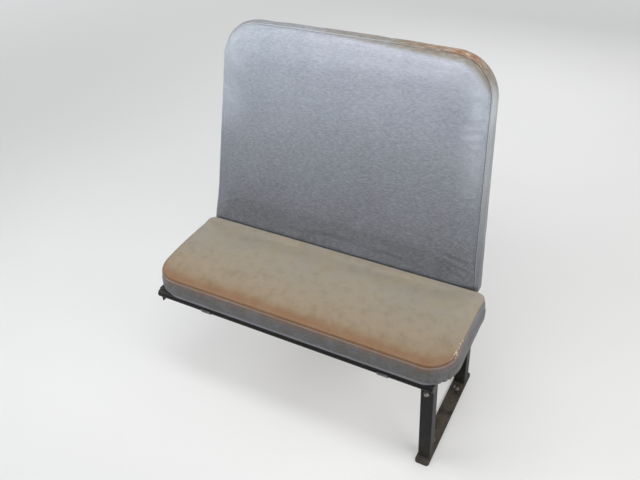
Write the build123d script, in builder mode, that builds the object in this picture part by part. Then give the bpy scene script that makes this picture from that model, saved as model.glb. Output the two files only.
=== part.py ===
from build123d import *
from math import atan, cos, degrees, radians, sin, tan
import os

# Bench seat for three from a school bus, on a pedestal at the aisle and brackets at the side wall.
# X runs across the bus with the aisle at +X, Y runs to the rear, Z is up. Millimetres.
# The origin is on the floor, midway between the two floor bolts of the pedestal.

# Cushion
cushion_width = 990.0  # aisle edge to wall edge
cushion_overhang = 72.0  # from the pedestal's middle to the aisle edge
cushion_line_y = 130.0  # where the top of the cushion meets the back
cushion_nose_y = -215.0
cushion_thickness = 70.0
cushion_crown = 11.0
cushion_front_radius = 88.0
cushion_rear_radius = 34.0
cushion_top_round = 27.0
cushion_bottom_chamfer = 9.0
cushion_back_gap = 5.0

# Cushion board
board_thickness = 12.7
board_side_inset = 25.0
board_front_inset = 10.0
board_rear_inset = 28.0
board_rest_gap = 0.3

# Back
recline = 13.5  # front face of the back, from upright, in degrees
back_length = 727.0  # along the slope
back_side_inset_bottom = 22.0  # narrower than the cushion by this much each side
back_side_inset_top = 67.5
back_offset_x = -19.0  # the back stands a little nearer the wall than the cushion
back_thickness_bottom = 86.0
back_thickness_top = 58.0
back_drop = 58.0  # how far the back hangs below the cushion line, along the slope
back_crown = 6.0
back_corner_radius = 125.0
back_foot_radius = 28.0
back_edge_round = 19.0
back_rear_chamfer = 10.0

# Tubes
tube_diameter = 25.4
tube_wall = 2.0
frame_height = 366.7  # top of the seat frame above the floor
cope_gap = 0.2
back_frame_inset = 36.0  # from the edge of the back to the middle of its tube
foam_gap = 0.3
back_bar_diameter = 15.9
rear_tube_y = 85.0

# Rails
rail_width = 38.1
rail_height = 25.4
rail_wall = 2.0
rail_corner = 4.0
rail_rear_overhang = 0.0  # past the rear leg

# Legs and foot rail
leg_size = 38.1
leg_wall = 2.5
leg_corner = 4.5
front_leg_y = -163.0
rear_leg_y = 155.0
foot_width = 44.0
foot_height = 9.5
foot_end_margin = 20.0
foot_corner = 9.0
foot_chamfer = 1.5
floor_bolt_spacing = 224.0
bolt_hole = 11.0
gusset_leg = 48.0
gusset_thickness = 4.0

# Wall brackets
wall_gap = 17.0  # from the cushion's wall edge to the wall
bracket_sheet = 3.0
bracket_width = 60.0
bracket_drop = 56.0
bracket_hole_drop = 32.0
bracket_y = (-140.0, 120.0)
bracket_web = 4.0
bracket_foot_length = 34.0

# Caps
cap_flange = 3.0
cap_chamfer = 1.2

# Hinge hooks and rear clips
hook_spacing = 600.0
hook_width = 32.0
hook_sheet = 2.5
hook_gap = 0.3
hook_flange = 46.0
hook_lip = 4.0
clip_spacing = 560.0
clip_width = 28.0
clip_sheet = 2.0
clip_gap = 1.5
clip_flange = 40.0
clip_leg = 24.0
clip_flare = 6.0

# Places worked out from the sizes
aisle_edge_x = cushion_overhang
wall_edge_x = aisle_edge_x - cushion_width
cushion_x = (aisle_edge_x + wall_edge_x) / 2
wall_x = wall_edge_x - wall_gap
back_x = cushion_x + back_offset_x
back_width_bottom = cushion_width - 2 * back_side_inset_bottom
back_width_top = cushion_width - 2 * back_side_inset_top
rail_aisle_x = 0.0
rail_wall_x = 2 * back_x - rail_aisle_x
tube_radius = tube_diameter / 2
tube_z = frame_height - tube_radius
front_tube_y = front_leg_y - leg_size / 2 - tube_radius
rail_rear_y = rear_leg_y + leg_size / 2 + rail_rear_overhang
rail_bottom = frame_height - rail_height
board_bottom = frame_height + board_rest_gap
pad_bottom = board_bottom + board_thickness
cushion_line_z = pad_bottom + cushion_thickness

taper = degrees(atan((back_thickness_bottom - back_thickness_top) / back_length))


def leaning_plane(angle, foot):
    """Plane through foot that leans back by angle degrees: X is level, Y runs up the slope, Z forwards."""
    turn = radians(angle)
    return Plane(origin=foot, x_dir=(1, 0, 0), z_dir=(0, -cos(turn), sin(turn)))


recline_turn = radians(recline)
front_foot = Vector(
    back_x,
    cushion_line_y - back_drop * sin(recline_turn),
    cushion_line_z - back_drop * cos(recline_turn),
)
back_front_plane = leaning_plane(recline, front_foot)
to_rear = back_front_plane.z_dir * -back_thickness_bottom
back_rear_plane = leaning_plane(recline - taper, front_foot + to_rear)
back_plane = leaning_plane(recline - taper / 2, front_foot + to_rear / 2)


def back_half_width(height):
    """Half the width of the back at a height along its slope."""
    share = height / back_length
    return (back_width_bottom + (back_width_top - back_width_bottom) * share) / 2


def back_run(section):
    """Sweep a section, given as a function, along the bent tube of the back, down to the seat frame."""
    below = 2 * tube_diameter
    corner = back_length - back_frame_inset
    foot_x = back_half_width(-below) - back_frame_inset
    corner_x = back_half_width(corner) - back_frame_inset
    with BuildPart() as rod:
        with BuildLine(back_plane) as run:
            FilletPolyline(
                (-foot_x, -below),
                (-corner_x, corner),
                (corner_x, corner),
                (foot_x, -below),
                radius=back_corner_radius - back_frame_inset,
            )
        with BuildSketch(Plane(origin=run.line @ 0, z_dir=run.line % 0)):
            section()
        sweep()
        split(bisect_by=Plane.XY.offset(frame_height), keep=Keep.TOP)
    return rod.part


def back_tube_section():
    Circle(tube_radius)


def back_cope_section():
    Circle(tube_radius + cope_gap)


def foam_slot_section():
    Rectangle(tube_diameter + 2 * foam_gap, tube_diameter + 2 * foam_gap)


def finish(builder, name):
    """Label a finished piece and write it to its own file."""
    builder.part.label = name
    export_step(builder.part, f"parts/{name}.step")


os.makedirs("parts", exist_ok=True)

# Foot rail: a flat bar on the floor that joins both legs
foot_front_y = front_leg_y - leg_size / 2 - foot_end_margin
foot_rear_y = rear_leg_y + leg_size / 2 + foot_end_margin
with BuildPart() as foot_rail:
    with BuildSketch(Plane.XY):
        with Locations((0, (foot_front_y + foot_rear_y) / 2)):
            RectangleRounded(foot_width, foot_rear_y - foot_front_y, foot_corner)
    extrude(amount=foot_height)
    chamfer(foot_rail.faces().sort_by(Axis.Z)[-1].edges(), length=foot_chamfer)
    with Locations(
        (0, -floor_bolt_spacing / 2, foot_height),
        (0, floor_bolt_spacing / 2, foot_height),
    ):
        Hole(radius=bolt_hole / 2, depth=foot_height)
finish(foot_rail, "foot_rail")

# Legs: square tube from the foot rail to the underside of the aisle rail
for name, leg_y in (("front_leg", front_leg_y), ("rear_leg", rear_leg_y)):
    with BuildPart() as leg:
        with BuildSketch(Plane.XY.offset(foot_height)):
            with Locations((rail_aisle_x, leg_y)):
                RectangleRounded(leg_size, leg_size, leg_corner)
                Rectangle(leg_size - 2 * leg_wall, leg_size - 2 * leg_wall, mode=Mode.SUBTRACT)
        extrude(amount=rail_bottom - foot_height)
    finish(leg, name)

# Gussets in the top corners between the legs and the aisle rail
gussets = (
    # name, leg face, direction from the leg into the pedestal
    ("front_leg_gusset", front_leg_y + leg_size / 2, 1),
    ("rear_leg_gusset", rear_leg_y - leg_size / 2, -1),
)
for name, face_y, towards in gussets:
    with BuildPart() as gusset:
        with BuildSketch(Plane.YZ.offset(-gusset_thickness / 2)):
            with BuildLine():
                Polyline(
                    (face_y + towards * gusset_leg, rail_bottom),
                    (face_y, rail_bottom),
                    (face_y, rail_bottom - gusset_leg),
                )
                ThreePointArc(
                    (face_y, rail_bottom - gusset_leg),
                    (face_y + towards * gusset_leg * 0.36, rail_bottom - gusset_leg * 0.36),
                    (face_y + towards * gusset_leg, rail_bottom),
                )
            make_face()
        extrude(amount=gusset_thickness)
    finish(gusset, name)

# Side rails: rectangular tube, coped round the front tube
for name, rail_x in (("aisle_rail", rail_aisle_x), ("wall_rail", rail_wall_x)):
    with BuildPart() as rail:
        with BuildSketch(Plane.XZ.offset(-rail_rear_y)):
            with Locations((rail_x, frame_height - rail_height / 2)):
                RectangleRounded(rail_width, rail_height, rail_corner)
                Rectangle(rail_width - 2 * rail_wall, rail_height - 2 * rail_wall, mode=Mode.SUBTRACT)
        extrude(amount=rail_rear_y - front_tube_y)
        with BuildSketch(Plane.YZ.offset(rail_x - rail_width)):
            with Locations((front_tube_y, tube_z)):
                Circle(tube_radius + cope_gap)
        extrude(amount=2 * rail_width, mode=Mode.SUBTRACT)
    finish(rail, name)

# Cross tubes: the front one runs past both rails, the rear one stands between them
front_tube_ends = (rail_wall_x - rail_width / 2 - 4.0, rail_aisle_x + rail_width / 2 + 4.0)
rear_tube_ends = (rail_wall_x + rail_width / 2, rail_aisle_x - rail_width / 2)
cross_tubes = (
    # name, ends, place along Y
    ("front_tube", front_tube_ends, front_tube_y),
    ("rear_tube", rear_tube_ends, rear_tube_y),
)
for name, ends, tube_y in cross_tubes:
    with BuildPart() as cross_tube:
        with BuildSketch(Plane.YZ.offset(ends[0])):
            with Locations((tube_y, tube_z)):
                Circle(tube_radius)
                Circle(tube_radius - tube_wall, mode=Mode.SUBTRACT)
        extrude(amount=ends[1] - ends[0])
    finish(cross_tube, name)

# Caps on the open ends of the front tube
for name, end_x, outwards in (
    ("front_tube_cap_wall", front_tube_ends[0], -1),
    ("front_tube_cap_aisle", front_tube_ends[1], 1),
):
    end_plane = Plane(origin=(end_x, front_tube_y, tube_z), z_dir=(outwards, 0, 0))
    with BuildPart() as cap:
        with BuildSketch(end_plane):
            Circle(tube_radius)
        extrude(amount=cap_flange)
        outer_face = cap.faces().sort_by(Axis(end_plane.origin, end_plane.z_dir))[-1]
        chamfer(outer_face.edges(), length=cap_chamfer)
    finish(cap, name)

# Caps on the rear ends of the side rails
for name, rail_x in (("aisle_rail_cap", rail_aisle_x), ("wall_rail_cap", rail_wall_x)):
    with BuildPart() as rail_cap:
        with BuildSketch(Plane.XZ.offset(-rail_rear_y)):
            with Locations((rail_x, frame_height - rail_height / 2)):
                RectangleRounded(rail_width, rail_height, rail_corner)
        extrude(amount=-cap_flange)
        chamfer(rail_cap.faces().sort_by(Axis.Y)[-1].edges(), length=cap_chamfer)
    finish(rail_cap, name)

# Wall brackets: a shelf under the wall rail, a flange down the wall and a web between them
for name, middle_y in zip(("wall_bracket_front", "wall_bracket_rear"), bracket_y):
    with BuildPart() as bracket:
        with BuildSketch(Plane.XZ.offset(-middle_y - bracket_width / 2)):
            with BuildLine():
                Polyline(
                    (wall_x, rail_bottom),
                    (rail_wall_x + rail_width / 2, rail_bottom),
                    (rail_wall_x + rail_width / 2, rail_bottom - bracket_sheet),
                    (wall_x + bracket_sheet, rail_bottom - bracket_sheet),
                    (wall_x + bracket_sheet, rail_bottom - bracket_drop),
                    (wall_x, rail_bottom - bracket_drop),
                    close=True,
                )
            make_face()
        extrude(amount=bracket_width)
        for web_y in (middle_y - bracket_width / 2, middle_y + bracket_width / 2 - bracket_web):
            with BuildSketch(Plane.XZ.offset(-web_y - bracket_web)):
                with BuildLine():
                    Polyline(
                        (wall_x, rail_bottom),
                        (wall_x + bracket_foot_length, rail_bottom),
                        (wall_x + bracket_sheet, rail_bottom - bracket_drop),
                        (wall_x, rail_bottom - bracket_drop),
                        close=True,
                    )
                make_face()
            extrude(amount=bracket_web)
        with BuildSketch(Plane.YZ.offset(wall_x)):
            with Locations((middle_y, rail_bottom - bracket_hole_drop)):
                Circle(bolt_hole / 2)
        extrude(amount=bracket_sheet, mode=Mode.SUBTRACT)
    finish(bracket, name)

# Back frame: one tube bent to a tapered arch, standing on both rails
frame_rod = back_run(back_tube_section)
with BuildPart() as back_frame:
    add(frame_rod)
finish(back_frame, "back_frame")

# Bar between the feet of the back frame, under the back pad
bar_plane = Plane(
    origin=back_plane.from_local_coords(Vector(0, -back_bar_diameter / 2 - foam_gap, 0)),
    z_dir=(1, 0, 0),
)
cope_rod = back_run(back_cope_section)
with BuildPart() as back_bar:
    with BuildSketch(bar_plane):
        Circle(back_bar_diameter / 2)
    extrude(amount=back_half_width(0) - back_frame_inset, both=True)
    add(cope_rod, mode=Mode.SUBTRACT)
finish(back_bar, "back_bar")

# Back pad: its outline is drawn on the front face; the rear face leans less, so the top is thinner.
# A slot inside holds the back frame.
shoulder = back_length - back_crown
foam_slot = back_run(foam_slot_section)
with BuildPart() as back_pad:
    with BuildSketch(back_front_plane) as outline:
        with BuildLine():
            Polyline(
                (-back_half_width(shoulder), shoulder),
                (-back_half_width(0), 0),
                (back_half_width(0), 0),
                (back_half_width(shoulder), shoulder),
            )
            ThreePointArc(
                (-back_half_width(shoulder), shoulder),
                (0, back_length),
                (back_half_width(shoulder), shoulder),
            )
        make_face()
        fillet(outline.vertices().group_by(Axis.Y)[-1], radius=back_corner_radius)
        fillet(outline.vertices().group_by(Axis.Y)[0], radius=back_foot_radius)
    extrude(amount=-1.2 * back_thickness_bottom)
    split(bisect_by=back_rear_plane, keep=Keep.TOP)
    forwards = Axis(front_foot, back_front_plane.z_dir)
    rear_face = back_pad.faces().filter_by(GeomType.PLANE).sort_by(forwards)[0]
    chamfer(rear_face.edges(), length=back_rear_chamfer)
    front_face = back_pad.faces().filter_by(GeomType.PLANE).sort_by(forwards)[-1]
    fillet(front_face.edges(), radius=back_edge_round)
    add(foam_slot, mode=Mode.SUBTRACT)
finish(back_pad, "back_pad")

# Cushion pad: a crowned slab with its rear face cut parallel to the back
cushion_depth = cushion_line_y - cushion_nose_y
rear_top_y = cushion_line_y - cushion_back_gap
rear_bottom_y = rear_top_y - cushion_thickness * tan(radians(recline))
with BuildPart() as cushion_pad:
    with BuildSketch(Plane.YZ.offset(wall_edge_x)):
        with BuildLine():
            Polyline(
                (rear_top_y, cushion_line_z),
                (rear_bottom_y, pad_bottom),
                (cushion_nose_y, pad_bottom),
                (cushion_nose_y, cushion_line_z),
            )
            ThreePointArc(
                (cushion_nose_y, cushion_line_z),
                ((cushion_nose_y + rear_top_y) / 2, cushion_line_z + cushion_crown),
                (rear_top_y, cushion_line_z),
            )
        make_face()
    extrude(amount=cushion_width)
    upright_corners = cushion_pad.edges().filter_by(Axis.X, reverse=True).filter_by(GeomType.LINE)
    fillet(upright_corners.sort_by(Axis.Y)[-2:], radius=cushion_rear_radius)
    upright_corners = cushion_pad.edges().filter_by(Axis.Z).filter_by(GeomType.LINE)
    fillet(upright_corners.sort_by(Axis.Y)[:2], radius=cushion_front_radius)
    fillet(cushion_pad.faces().sort_by(Axis.Z)[-1].edges(), radius=cushion_top_round)
    chamfer(cushion_pad.faces().sort_by(Axis.Z)[0].edges(), length=cushion_bottom_chamfer)
finish(cushion_pad, "cushion_pad")

# Cushion board: plywood under the pad, with round corners that follow the pad's
board_front_y = cushion_nose_y + board_front_inset
board_rear_y = rear_top_y - board_rear_inset
with BuildPart() as cushion_board:
    with BuildSketch(Plane.XY.offset(board_bottom)):
        with Locations((cushion_x, (board_front_y + board_rear_y) / 2)):
            Rectangle(cushion_width - 2 * board_side_inset, board_rear_y - board_front_y)
    extrude(amount=board_thickness)
    board_corners = cushion_board.edges().filter_by(Axis.Z).sort_by(Axis.Y)
    fillet(board_corners[:2], radius=cushion_front_radius - board_side_inset)
    board_corners = cushion_board.edges().filter_by(Axis.Z).sort_by(Axis.Y)
    fillet(board_corners[-2:], radius=cushion_rear_radius / 2)
finish(cushion_board, "cushion_board")

# Hinge hooks: a strip screwed under the board and curled round the front tube
hook_inner = tube_radius + hook_gap
hook_outer = hook_inner + hook_sheet
for name, side in (("hinge_hook_wall", -1), ("hinge_hook_aisle", 1)):
    hook_x = cushion_x + side * hook_spacing / 2
    with BuildPart() as hook:
        with BuildSketch(Plane.YZ.offset(hook_x - hook_width / 2)):
            with BuildLine():
                Polyline(
                    (front_tube_y + hook_inner, tube_z),
                    (front_tube_y + hook_inner, board_bottom),
                    (front_tube_y + hook_outer + hook_flange, board_bottom),
                    (front_tube_y + hook_outer + hook_flange, board_bottom - hook_sheet),
                    (front_tube_y + hook_outer, board_bottom - hook_sheet),
                    (front_tube_y + hook_outer, tube_z),
                )
                ThreePointArc(
                    (front_tube_y + hook_outer, tube_z),
                    (front_tube_y, tube_z - hook_outer),
                    (front_tube_y - hook_outer, tube_z),
                )
                Polyline(
                    (front_tube_y - hook_outer, tube_z),
                    (front_tube_y - hook_outer, tube_z + hook_lip),
                    (front_tube_y - hook_inner, tube_z + hook_lip),
                    (front_tube_y - hook_inner, tube_z),
                )
                ThreePointArc(
                    (front_tube_y - hook_inner, tube_z),
                    (front_tube_y, tube_z - hook_inner),
                    (front_tube_y + hook_inner, tube_z),
                )
            make_face()
        extrude(amount=hook_width)
    finish(hook, name)

# Rear clips: spring strips under the board that stand in front of the rear tube
clip_face_y = rear_tube_y - tube_radius - clip_gap
for name, side in (("rear_clip_wall", -1), ("rear_clip_aisle", 1)):
    clip_x = cushion_x + side * clip_spacing / 2
    with BuildPart() as clip:
        with BuildSketch(Plane.YZ.offset(clip_x - clip_width / 2)):
            with BuildLine():
                Polyline(
                    (clip_face_y, board_bottom),
                    (clip_face_y - clip_flange, board_bottom),
                    (clip_face_y - clip_flange, board_bottom - clip_sheet),
                    (clip_face_y - clip_sheet, board_bottom - clip_sheet),
                    (clip_face_y - clip_sheet, board_bottom - clip_leg),
                    (clip_face_y - clip_sheet - clip_flare, board_bottom - clip_leg - clip_flare),
                    (clip_face_y - clip_flare, board_bottom - clip_leg - clip_flare),
                    (clip_face_y, board_bottom - clip_leg),
                    close=True,
                )
            make_face()
        extrude(amount=clip_width)
    finish(clip, name)
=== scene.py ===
from math import atan, cos, pi, radians, sin, tan

import bpy
import numpy as np
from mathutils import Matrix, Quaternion, Vector


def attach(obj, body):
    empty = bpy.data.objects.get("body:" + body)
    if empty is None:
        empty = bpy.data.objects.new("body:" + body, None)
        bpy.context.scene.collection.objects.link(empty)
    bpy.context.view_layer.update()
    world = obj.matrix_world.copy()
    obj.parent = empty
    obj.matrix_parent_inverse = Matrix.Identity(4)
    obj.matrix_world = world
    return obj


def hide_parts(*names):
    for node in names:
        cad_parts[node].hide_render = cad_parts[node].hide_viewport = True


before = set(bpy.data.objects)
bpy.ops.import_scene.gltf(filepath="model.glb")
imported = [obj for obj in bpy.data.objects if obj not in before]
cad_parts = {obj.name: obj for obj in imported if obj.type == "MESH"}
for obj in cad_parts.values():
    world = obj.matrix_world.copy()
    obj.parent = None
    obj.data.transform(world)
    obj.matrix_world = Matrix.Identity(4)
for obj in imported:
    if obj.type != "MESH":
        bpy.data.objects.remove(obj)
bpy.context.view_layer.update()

# Sizes that the CAD source has too, in metres
cushion_width = 0.990
cushion_overhang = 0.072
cushion_line_y = 0.130
cushion_nose_y = -0.215
cushion_thickness = 0.070
cushion_crown = 0.011
cushion_front_radius = 0.088
cushion_rear_radius = 0.034
cushion_top_round = 0.027
cushion_back_gap = 0.005
board_thickness = 0.0127
board_side_inset = 0.025
board_front_inset = 0.010
board_rear_inset = 0.028
board_rest_gap = 0.0003
recline = radians(13.5)
back_length = 0.727
back_half_bottom = cushion_width / 2 - 0.022
back_half_top = cushion_width / 2 - 0.0675
back_offset_x = -0.019
back_thickness_bottom = 0.086
back_thickness_top = 0.058
back_drop = 0.058
back_crown = 0.006
back_corner_radius = 0.125
back_foot_radius = 0.028
tube_diameter = 0.0254
frame_height = 0.3667
back_frame_inset = 0.036
back_bar_diameter = 0.0159
rail_width = 0.0381
rail_height = 0.0254
leg_size = 0.0381
leg_corner = 0.0045
front_leg_y = -0.163
rear_leg_y = 0.155
rear_tube_y = 0.085
foot_height = 0.0095
floor_bolt_spacing = 0.224
gusset_leg = 0.048
gusset_thickness = 0.004
wall_gap = 0.017
bracket_sheet = 0.003
bracket_width = 0.060
bracket_hole_drop = 0.032
bracket_y = (-0.140, 0.120)
hook_spacing = 0.600
hook_sheet = 0.0025
clip_spacing = 0.560
clip_sheet = 0.002

aisle_edge_x = cushion_overhang
wall_edge_x = aisle_edge_x - cushion_width
cushion_x = (aisle_edge_x + wall_edge_x) / 2
wall_x = wall_edge_x - wall_gap
back_x = cushion_x + back_offset_x
rail_wall_x = 2 * back_x
tube_radius = tube_diameter / 2
tube_z = frame_height - tube_radius
front_tube_y = front_leg_y - leg_size / 2 - tube_radius
rail_bottom = frame_height - rail_height
board_bottom = frame_height + board_rest_gap
pad_bottom = board_bottom + board_thickness
cushion_line_z = pad_bottom + cushion_thickness
board_front_y = cushion_nose_y + board_front_inset
board_rear_y = cushion_line_y - cushion_back_gap - board_rear_inset

across = np.array([1.0, 0.0, 0.0])
up_slope = np.array([0.0, sin(recline), cos(recline)])
forwards = np.array([0.0, -cos(recline), sin(recline)])
back_foot = np.array([back_x, cushion_line_y, cushion_line_z]) - back_drop * up_slope
back_taper = atan((back_thickness_bottom - back_thickness_top) / back_length)


# Camera: the photograph sees the back from 28 degrees to the aisle side and tilts 25 degrees down, while
# its line to the back falls by 37. The middle of those heights gives the back the photograph's outline,
# from further off, so that the whole seat is in view
back_middle = Vector((-0.442, 0.200, 0.780))
seat_aim = Vector((-0.413, 0.0, 0.585))
camera_turn, camera_height = radians(28.3), radians(31)
camera_distance = 2.10
camera_roll = radians(4.4)
camera_lens = 39.5

camera = bpy.data.objects.new("camera", bpy.data.cameras.new("camera"))
camera.data.sensor_width = 36.0
camera.data.lens = camera_lens
camera.location = back_middle + camera_distance * Vector(
    (sin(camera_turn) * cos(camera_height), -cos(camera_turn) * cos(camera_height), sin(camera_height))
)
camera.rotation_mode = "QUATERNION"
looking = (seat_aim - camera.location).normalized()
camera.rotation_quaternion = Quaternion(looking, camera_roll) @ looking.to_track_quat("-Z", "Y")
bpy.context.scene.collection.objects.link(camera)
bpy.context.scene.camera = camera


# Surfaces from arrays
no_fans = np.zeros((0, 3), int)


def unit(vectors):
    """Vectors divided by their lengths."""
    return vectors / np.linalg.norm(vectors, axis=-1, keepdims=True)


def lengths_along(line):
    """Length of a line of points from its first point to each of them."""
    return np.concatenate(([0.0], np.cumsum(np.linalg.norm(np.diff(line, axis=0), axis=1))))


def read_off(at, lengths, columns):
    """Columns of numbers that are known at some lengths, read off at others by straight lines."""
    return np.stack([np.interp(at, lengths, column) for column in columns.T], -1)


def lofted(rings, around=False):
    """Closed surface through rings of points: a strip of faces joins each ring to the next. With around
    the last ring joins the first; otherwise a fan to the middle of its points closes each end.
    The faces are turned outwards by the sign of the volume that they enclose."""
    count, size = rings.shape[:2]
    points = rings.reshape(-1, 3)
    k = np.arange(count if around else count - 1)[:, None] * size
    s = np.arange(size)[None]
    beside, above_k = (s + 1) % size, (k + size) % (count * size)
    quads = np.stack((k + s, k + beside, above_k + beside, above_k + s), -1).reshape(-1, 4)
    fans = no_fans
    if not around:
        points = np.concatenate((points, rings[[0, -1]].mean(1)))
        first, last = np.arange(size), (count - 1) * size + np.arange(size)
        low, high = np.full(size, count * size), np.full(size, count * size + 1)
        fans = np.concatenate(
            (
                np.stack((np.roll(first, -1), first, low), -1),
                np.stack((last, np.roll(last, -1), high), -1),
            )
        )
    corners = np.concatenate((quads[:, :3], quads[:, [0, 2, 3]], fans))
    a, b, c = points[corners[:, 0]], points[corners[:, 1]], points[corners[:, 2]]
    if np.einsum("ij,ij->i", a, np.cross(b, c)).sum() < 0:
        quads, fans = quads[:, ::-1], fans[:, ::-1]
    return points, quads, fans


def joined(surfaces):
    """One surface of several: points one after another, faces numbered on from the points before them."""
    starts = np.cumsum([0] + [len(surface[0]) for surface in surfaces[:-1]])
    return (
        np.concatenate([surface[0] for surface in surfaces]),
        np.concatenate([surface[1] + start for surface, start in zip(surfaces, starts)]),
        np.concatenate([surface[2] + start for surface, start in zip(surfaces, starts)]),
    )


def repeated(surface, places, axes):
    """Copies of a surface: each point is its place plus the point's own coordinates along that place's
    three axes. Places is n x 3, axes n x 3 x 3 with one axis a row."""
    points, quads, fans = surface
    moved = places[:, None] + np.einsum("pk,nkj->npj", points, axes)
    starts = np.arange(len(places))[:, None, None] * len(points)
    return moved.reshape(-1, 3), (quads + starts).reshape(-1, 4), (fans + starts).reshape(-1, 3)


def turned(profile, segments=32, flats=0):
    """Closed solid of revolution about Z. Each row of the profile is radius, height and how far the ring
    is a polygon: its radius grows towards the corners by 1 / cos of the angle from the nearest flat."""
    profile = np.array(profile, float)
    angle = np.arange(segments) * 2 * pi / segments
    grow = np.ones(segments)
    if flats:
        wedge = 2 * pi / flats
        grow = 1 / np.cos((angle + wedge / 2) % wedge - wedge / 2)
    radius = profile[:, :1] * (1 + profile[:, 2:] * (grow - 1))
    rings = np.stack((radius * np.cos(angle), radius * np.sin(angle), profile[:, 1:2] + 0 * radius), -1)
    return lofted(rings)


def bead(path, radius, side, around=False, sides=10, ripple=0.0, pitch=0.0022):
    """Round bead along a path. Each ring stands square to the path; its radius is the bead's, times
    1 + ripple * |sin| of the length along the path, as in the scales of a weld, and it shrinks to the
    ends of an open path as a quarter circle does. Side is a direction that is never along the path."""
    ahead = unit(np.roll(path, -1, 0) - np.roll(path, 1, 0) if around else np.gradient(path, axis=0))
    first = unit(np.cross(ahead, side))
    second = np.cross(ahead, first)
    length = lengths_along(path)
    size = radius * (1 + ripple * np.abs(np.sin(pi * length / pitch)))
    if not around:
        inwards = np.minimum(np.minimum(length, length[-1] - length) / radius, 1)
        size = size * np.sqrt(np.maximum(1 - (1 - inwards) ** 2, 0.02))
    angle = np.arange(sides) * 2 * pi / sides
    spread = np.cos(angle)[:, None] * first[:, None] + np.sin(angle)[:, None] * second[:, None]
    return lofted(path[:, None] + size[:, None, None] * spread, around)


def straight(start, end, spacing=0.0006):
    """Evenly spaced points on a straight line."""
    start, end = np.array(start, float), np.array(end, float)
    count = max(int(np.linalg.norm(end - start) / spacing), 2)
    return start + np.linspace(0, 1, count)[:, None] * (end - start)


def arc(centre, first, second, radius, start, end, spacing=0.0006):
    """Points on an arc: centre + radius * (cos angle * first + sin angle * second)."""
    count = max(int(abs(end - start) * radius / spacing), 3)
    closed = abs(end - start) > 2 * pi - 1e-6
    angle = np.linspace(start, end, count, endpoint=not closed)[:, None]
    return np.array(centre) + radius * (np.cos(angle) * np.array(first) + np.sin(angle) * np.array(second))


def rise(value, low, high):
    """0 below low, 1 above high and a smooth cubic between."""
    share = np.clip((value - low) / (high - low), 0, 1)
    return share * share * (3 - 2 * share)


def swell(value, middle, width):
    """Bell curve of height 1 about the middle."""
    return np.exp(-(((value - middle) / width) ** 2))


def build(name, surface, body, finish, crease=35):
    """Make an object of a surface, at the origin, riding on a CAD body. Edges that turn by more than the
    crease, in degrees, stay sharp."""
    points, quads, fans = surface
    loops = np.concatenate((quads.ravel(), fans.ravel())).astype(np.int32)
    sizes = np.concatenate((np.full(len(quads), 4), np.full(len(fans), 3)))
    starts = np.concatenate(([0], np.cumsum(sizes)[:-1])).astype(np.int32)
    mesh = bpy.data.meshes.new(name)
    mesh.vertices.add(len(points))
    mesh.vertices.foreach_set("co", np.ascontiguousarray(points, np.float32).ravel())
    mesh.loops.add(len(loops))
    mesh.loops.foreach_set("vertex_index", loops)
    mesh.polygons.add(len(sizes))
    mesh.polygons.foreach_set("loop_start", starts)
    mesh.update(calc_edges=True)
    mesh.validate()
    mesh.shade_smooth()
    mesh.set_sharp_from_angle(angle=radians(crease))
    made = bpy.data.objects.new(name, mesh)
    bpy.context.scene.collection.objects.link(made)
    if finish is not None:
        mesh.materials.append(finish)
    if body is not None:
        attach(made, body)
    return made


# Finishes
class Wire:
    """A socket in a material. Arithmetic on it adds Math nodes, so a mask is written as an expression."""

    def __init__(self, tree, socket=None):
        self.tree = tree
        self.socket = socket

    def node(self, kind, settings=None, sockets=None, output=0):
        """Add a node: its settings first, then a value or a wire for each socket named or numbered."""
        made = self.tree.nodes.new(kind)
        for key, value in (settings or {}).items():
            setattr(made, key, value)
        for key, value in (sockets or {}).items():
            if isinstance(value, Wire):
                self.tree.links.new(value.socket, made.inputs[key])
            else:
                made.inputs[key].default_value = value
        return Wire(self.tree, made.outputs[output])

    def maths(self, operation, first, second):
        return self.node("ShaderNodeMath", {"operation": operation}, {0: first, 1: second})

    def __add__(self, other):
        return self.maths("ADD", self, other)

    __radd__ = __add__

    def __sub__(self, other):
        return self.maths("SUBTRACT", self, other)

    def __rsub__(self, other):
        return self.maths("SUBTRACT", other, self)

    def __mul__(self, other):
        return self.maths("MULTIPLY", self, other)

    __rmul__ = __mul__

    def step(self, low, high):
        """0 where the wire is below low, 1 above high and a smooth rise between."""
        return self.node(
            "ShaderNodeMapRange", {"interpolation_type": "SMOOTHSTEP"}, {0: self, 1: low, 2: high}
        )

    def mix(self, first, second):
        """The first colour where the wire is 0, the second where it is 1."""
        return self.node("ShaderNodeMix", {"data_type": "RGBA"}, {0: self, 6: first, 7: second}, output=2)

    def noise(self, place, scale, detail=3.0, roughness=0.5):
        """Cloudy noise, about 0.5 on average, with patches of about 1 / scale metres. Three scales, one an
        axis, make streaks."""
        if isinstance(scale, tuple):
            place = self.node("ShaderNodeVectorMath", {"operation": "MULTIPLY"}, {0: place, 1: scale})
            scale = 1.0
        sockets = {"Vector": place, "Scale": scale, "Detail": detail, "Roughness": roughness}
        return self.node("ShaderNodeTexNoise", None, sockets)

    def cells(self, place, scale, feature="F1"):
        """Distance inside cells of about 1 / scale metres."""
        return self.node("ShaderNodeTexVoronoi", {"feature": feature}, {"Vector": place, "Scale": scale})

    def z(self):
        """Third coordinate of a vector."""
        return self.node("ShaderNodeSeparateXYZ", None, {0: self}, "Z")

    def attributes(self, *names):
        """Numbers that the mesh carries at each point."""
        return [self.node("ShaderNodeAttribute", {"attribute_name": name}, None, "Fac") for name in names]

    def bump(self, height, depth, strength):
        """Normal that stands for a relief of this depth in metres."""
        sockets = {"Height": height, "Distance": depth, "Strength": strength}
        return self.node("ShaderNodeBump", None, sockets)


def rgb(red, green, blue):
    return (red, green, blue, 1.0)


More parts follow.
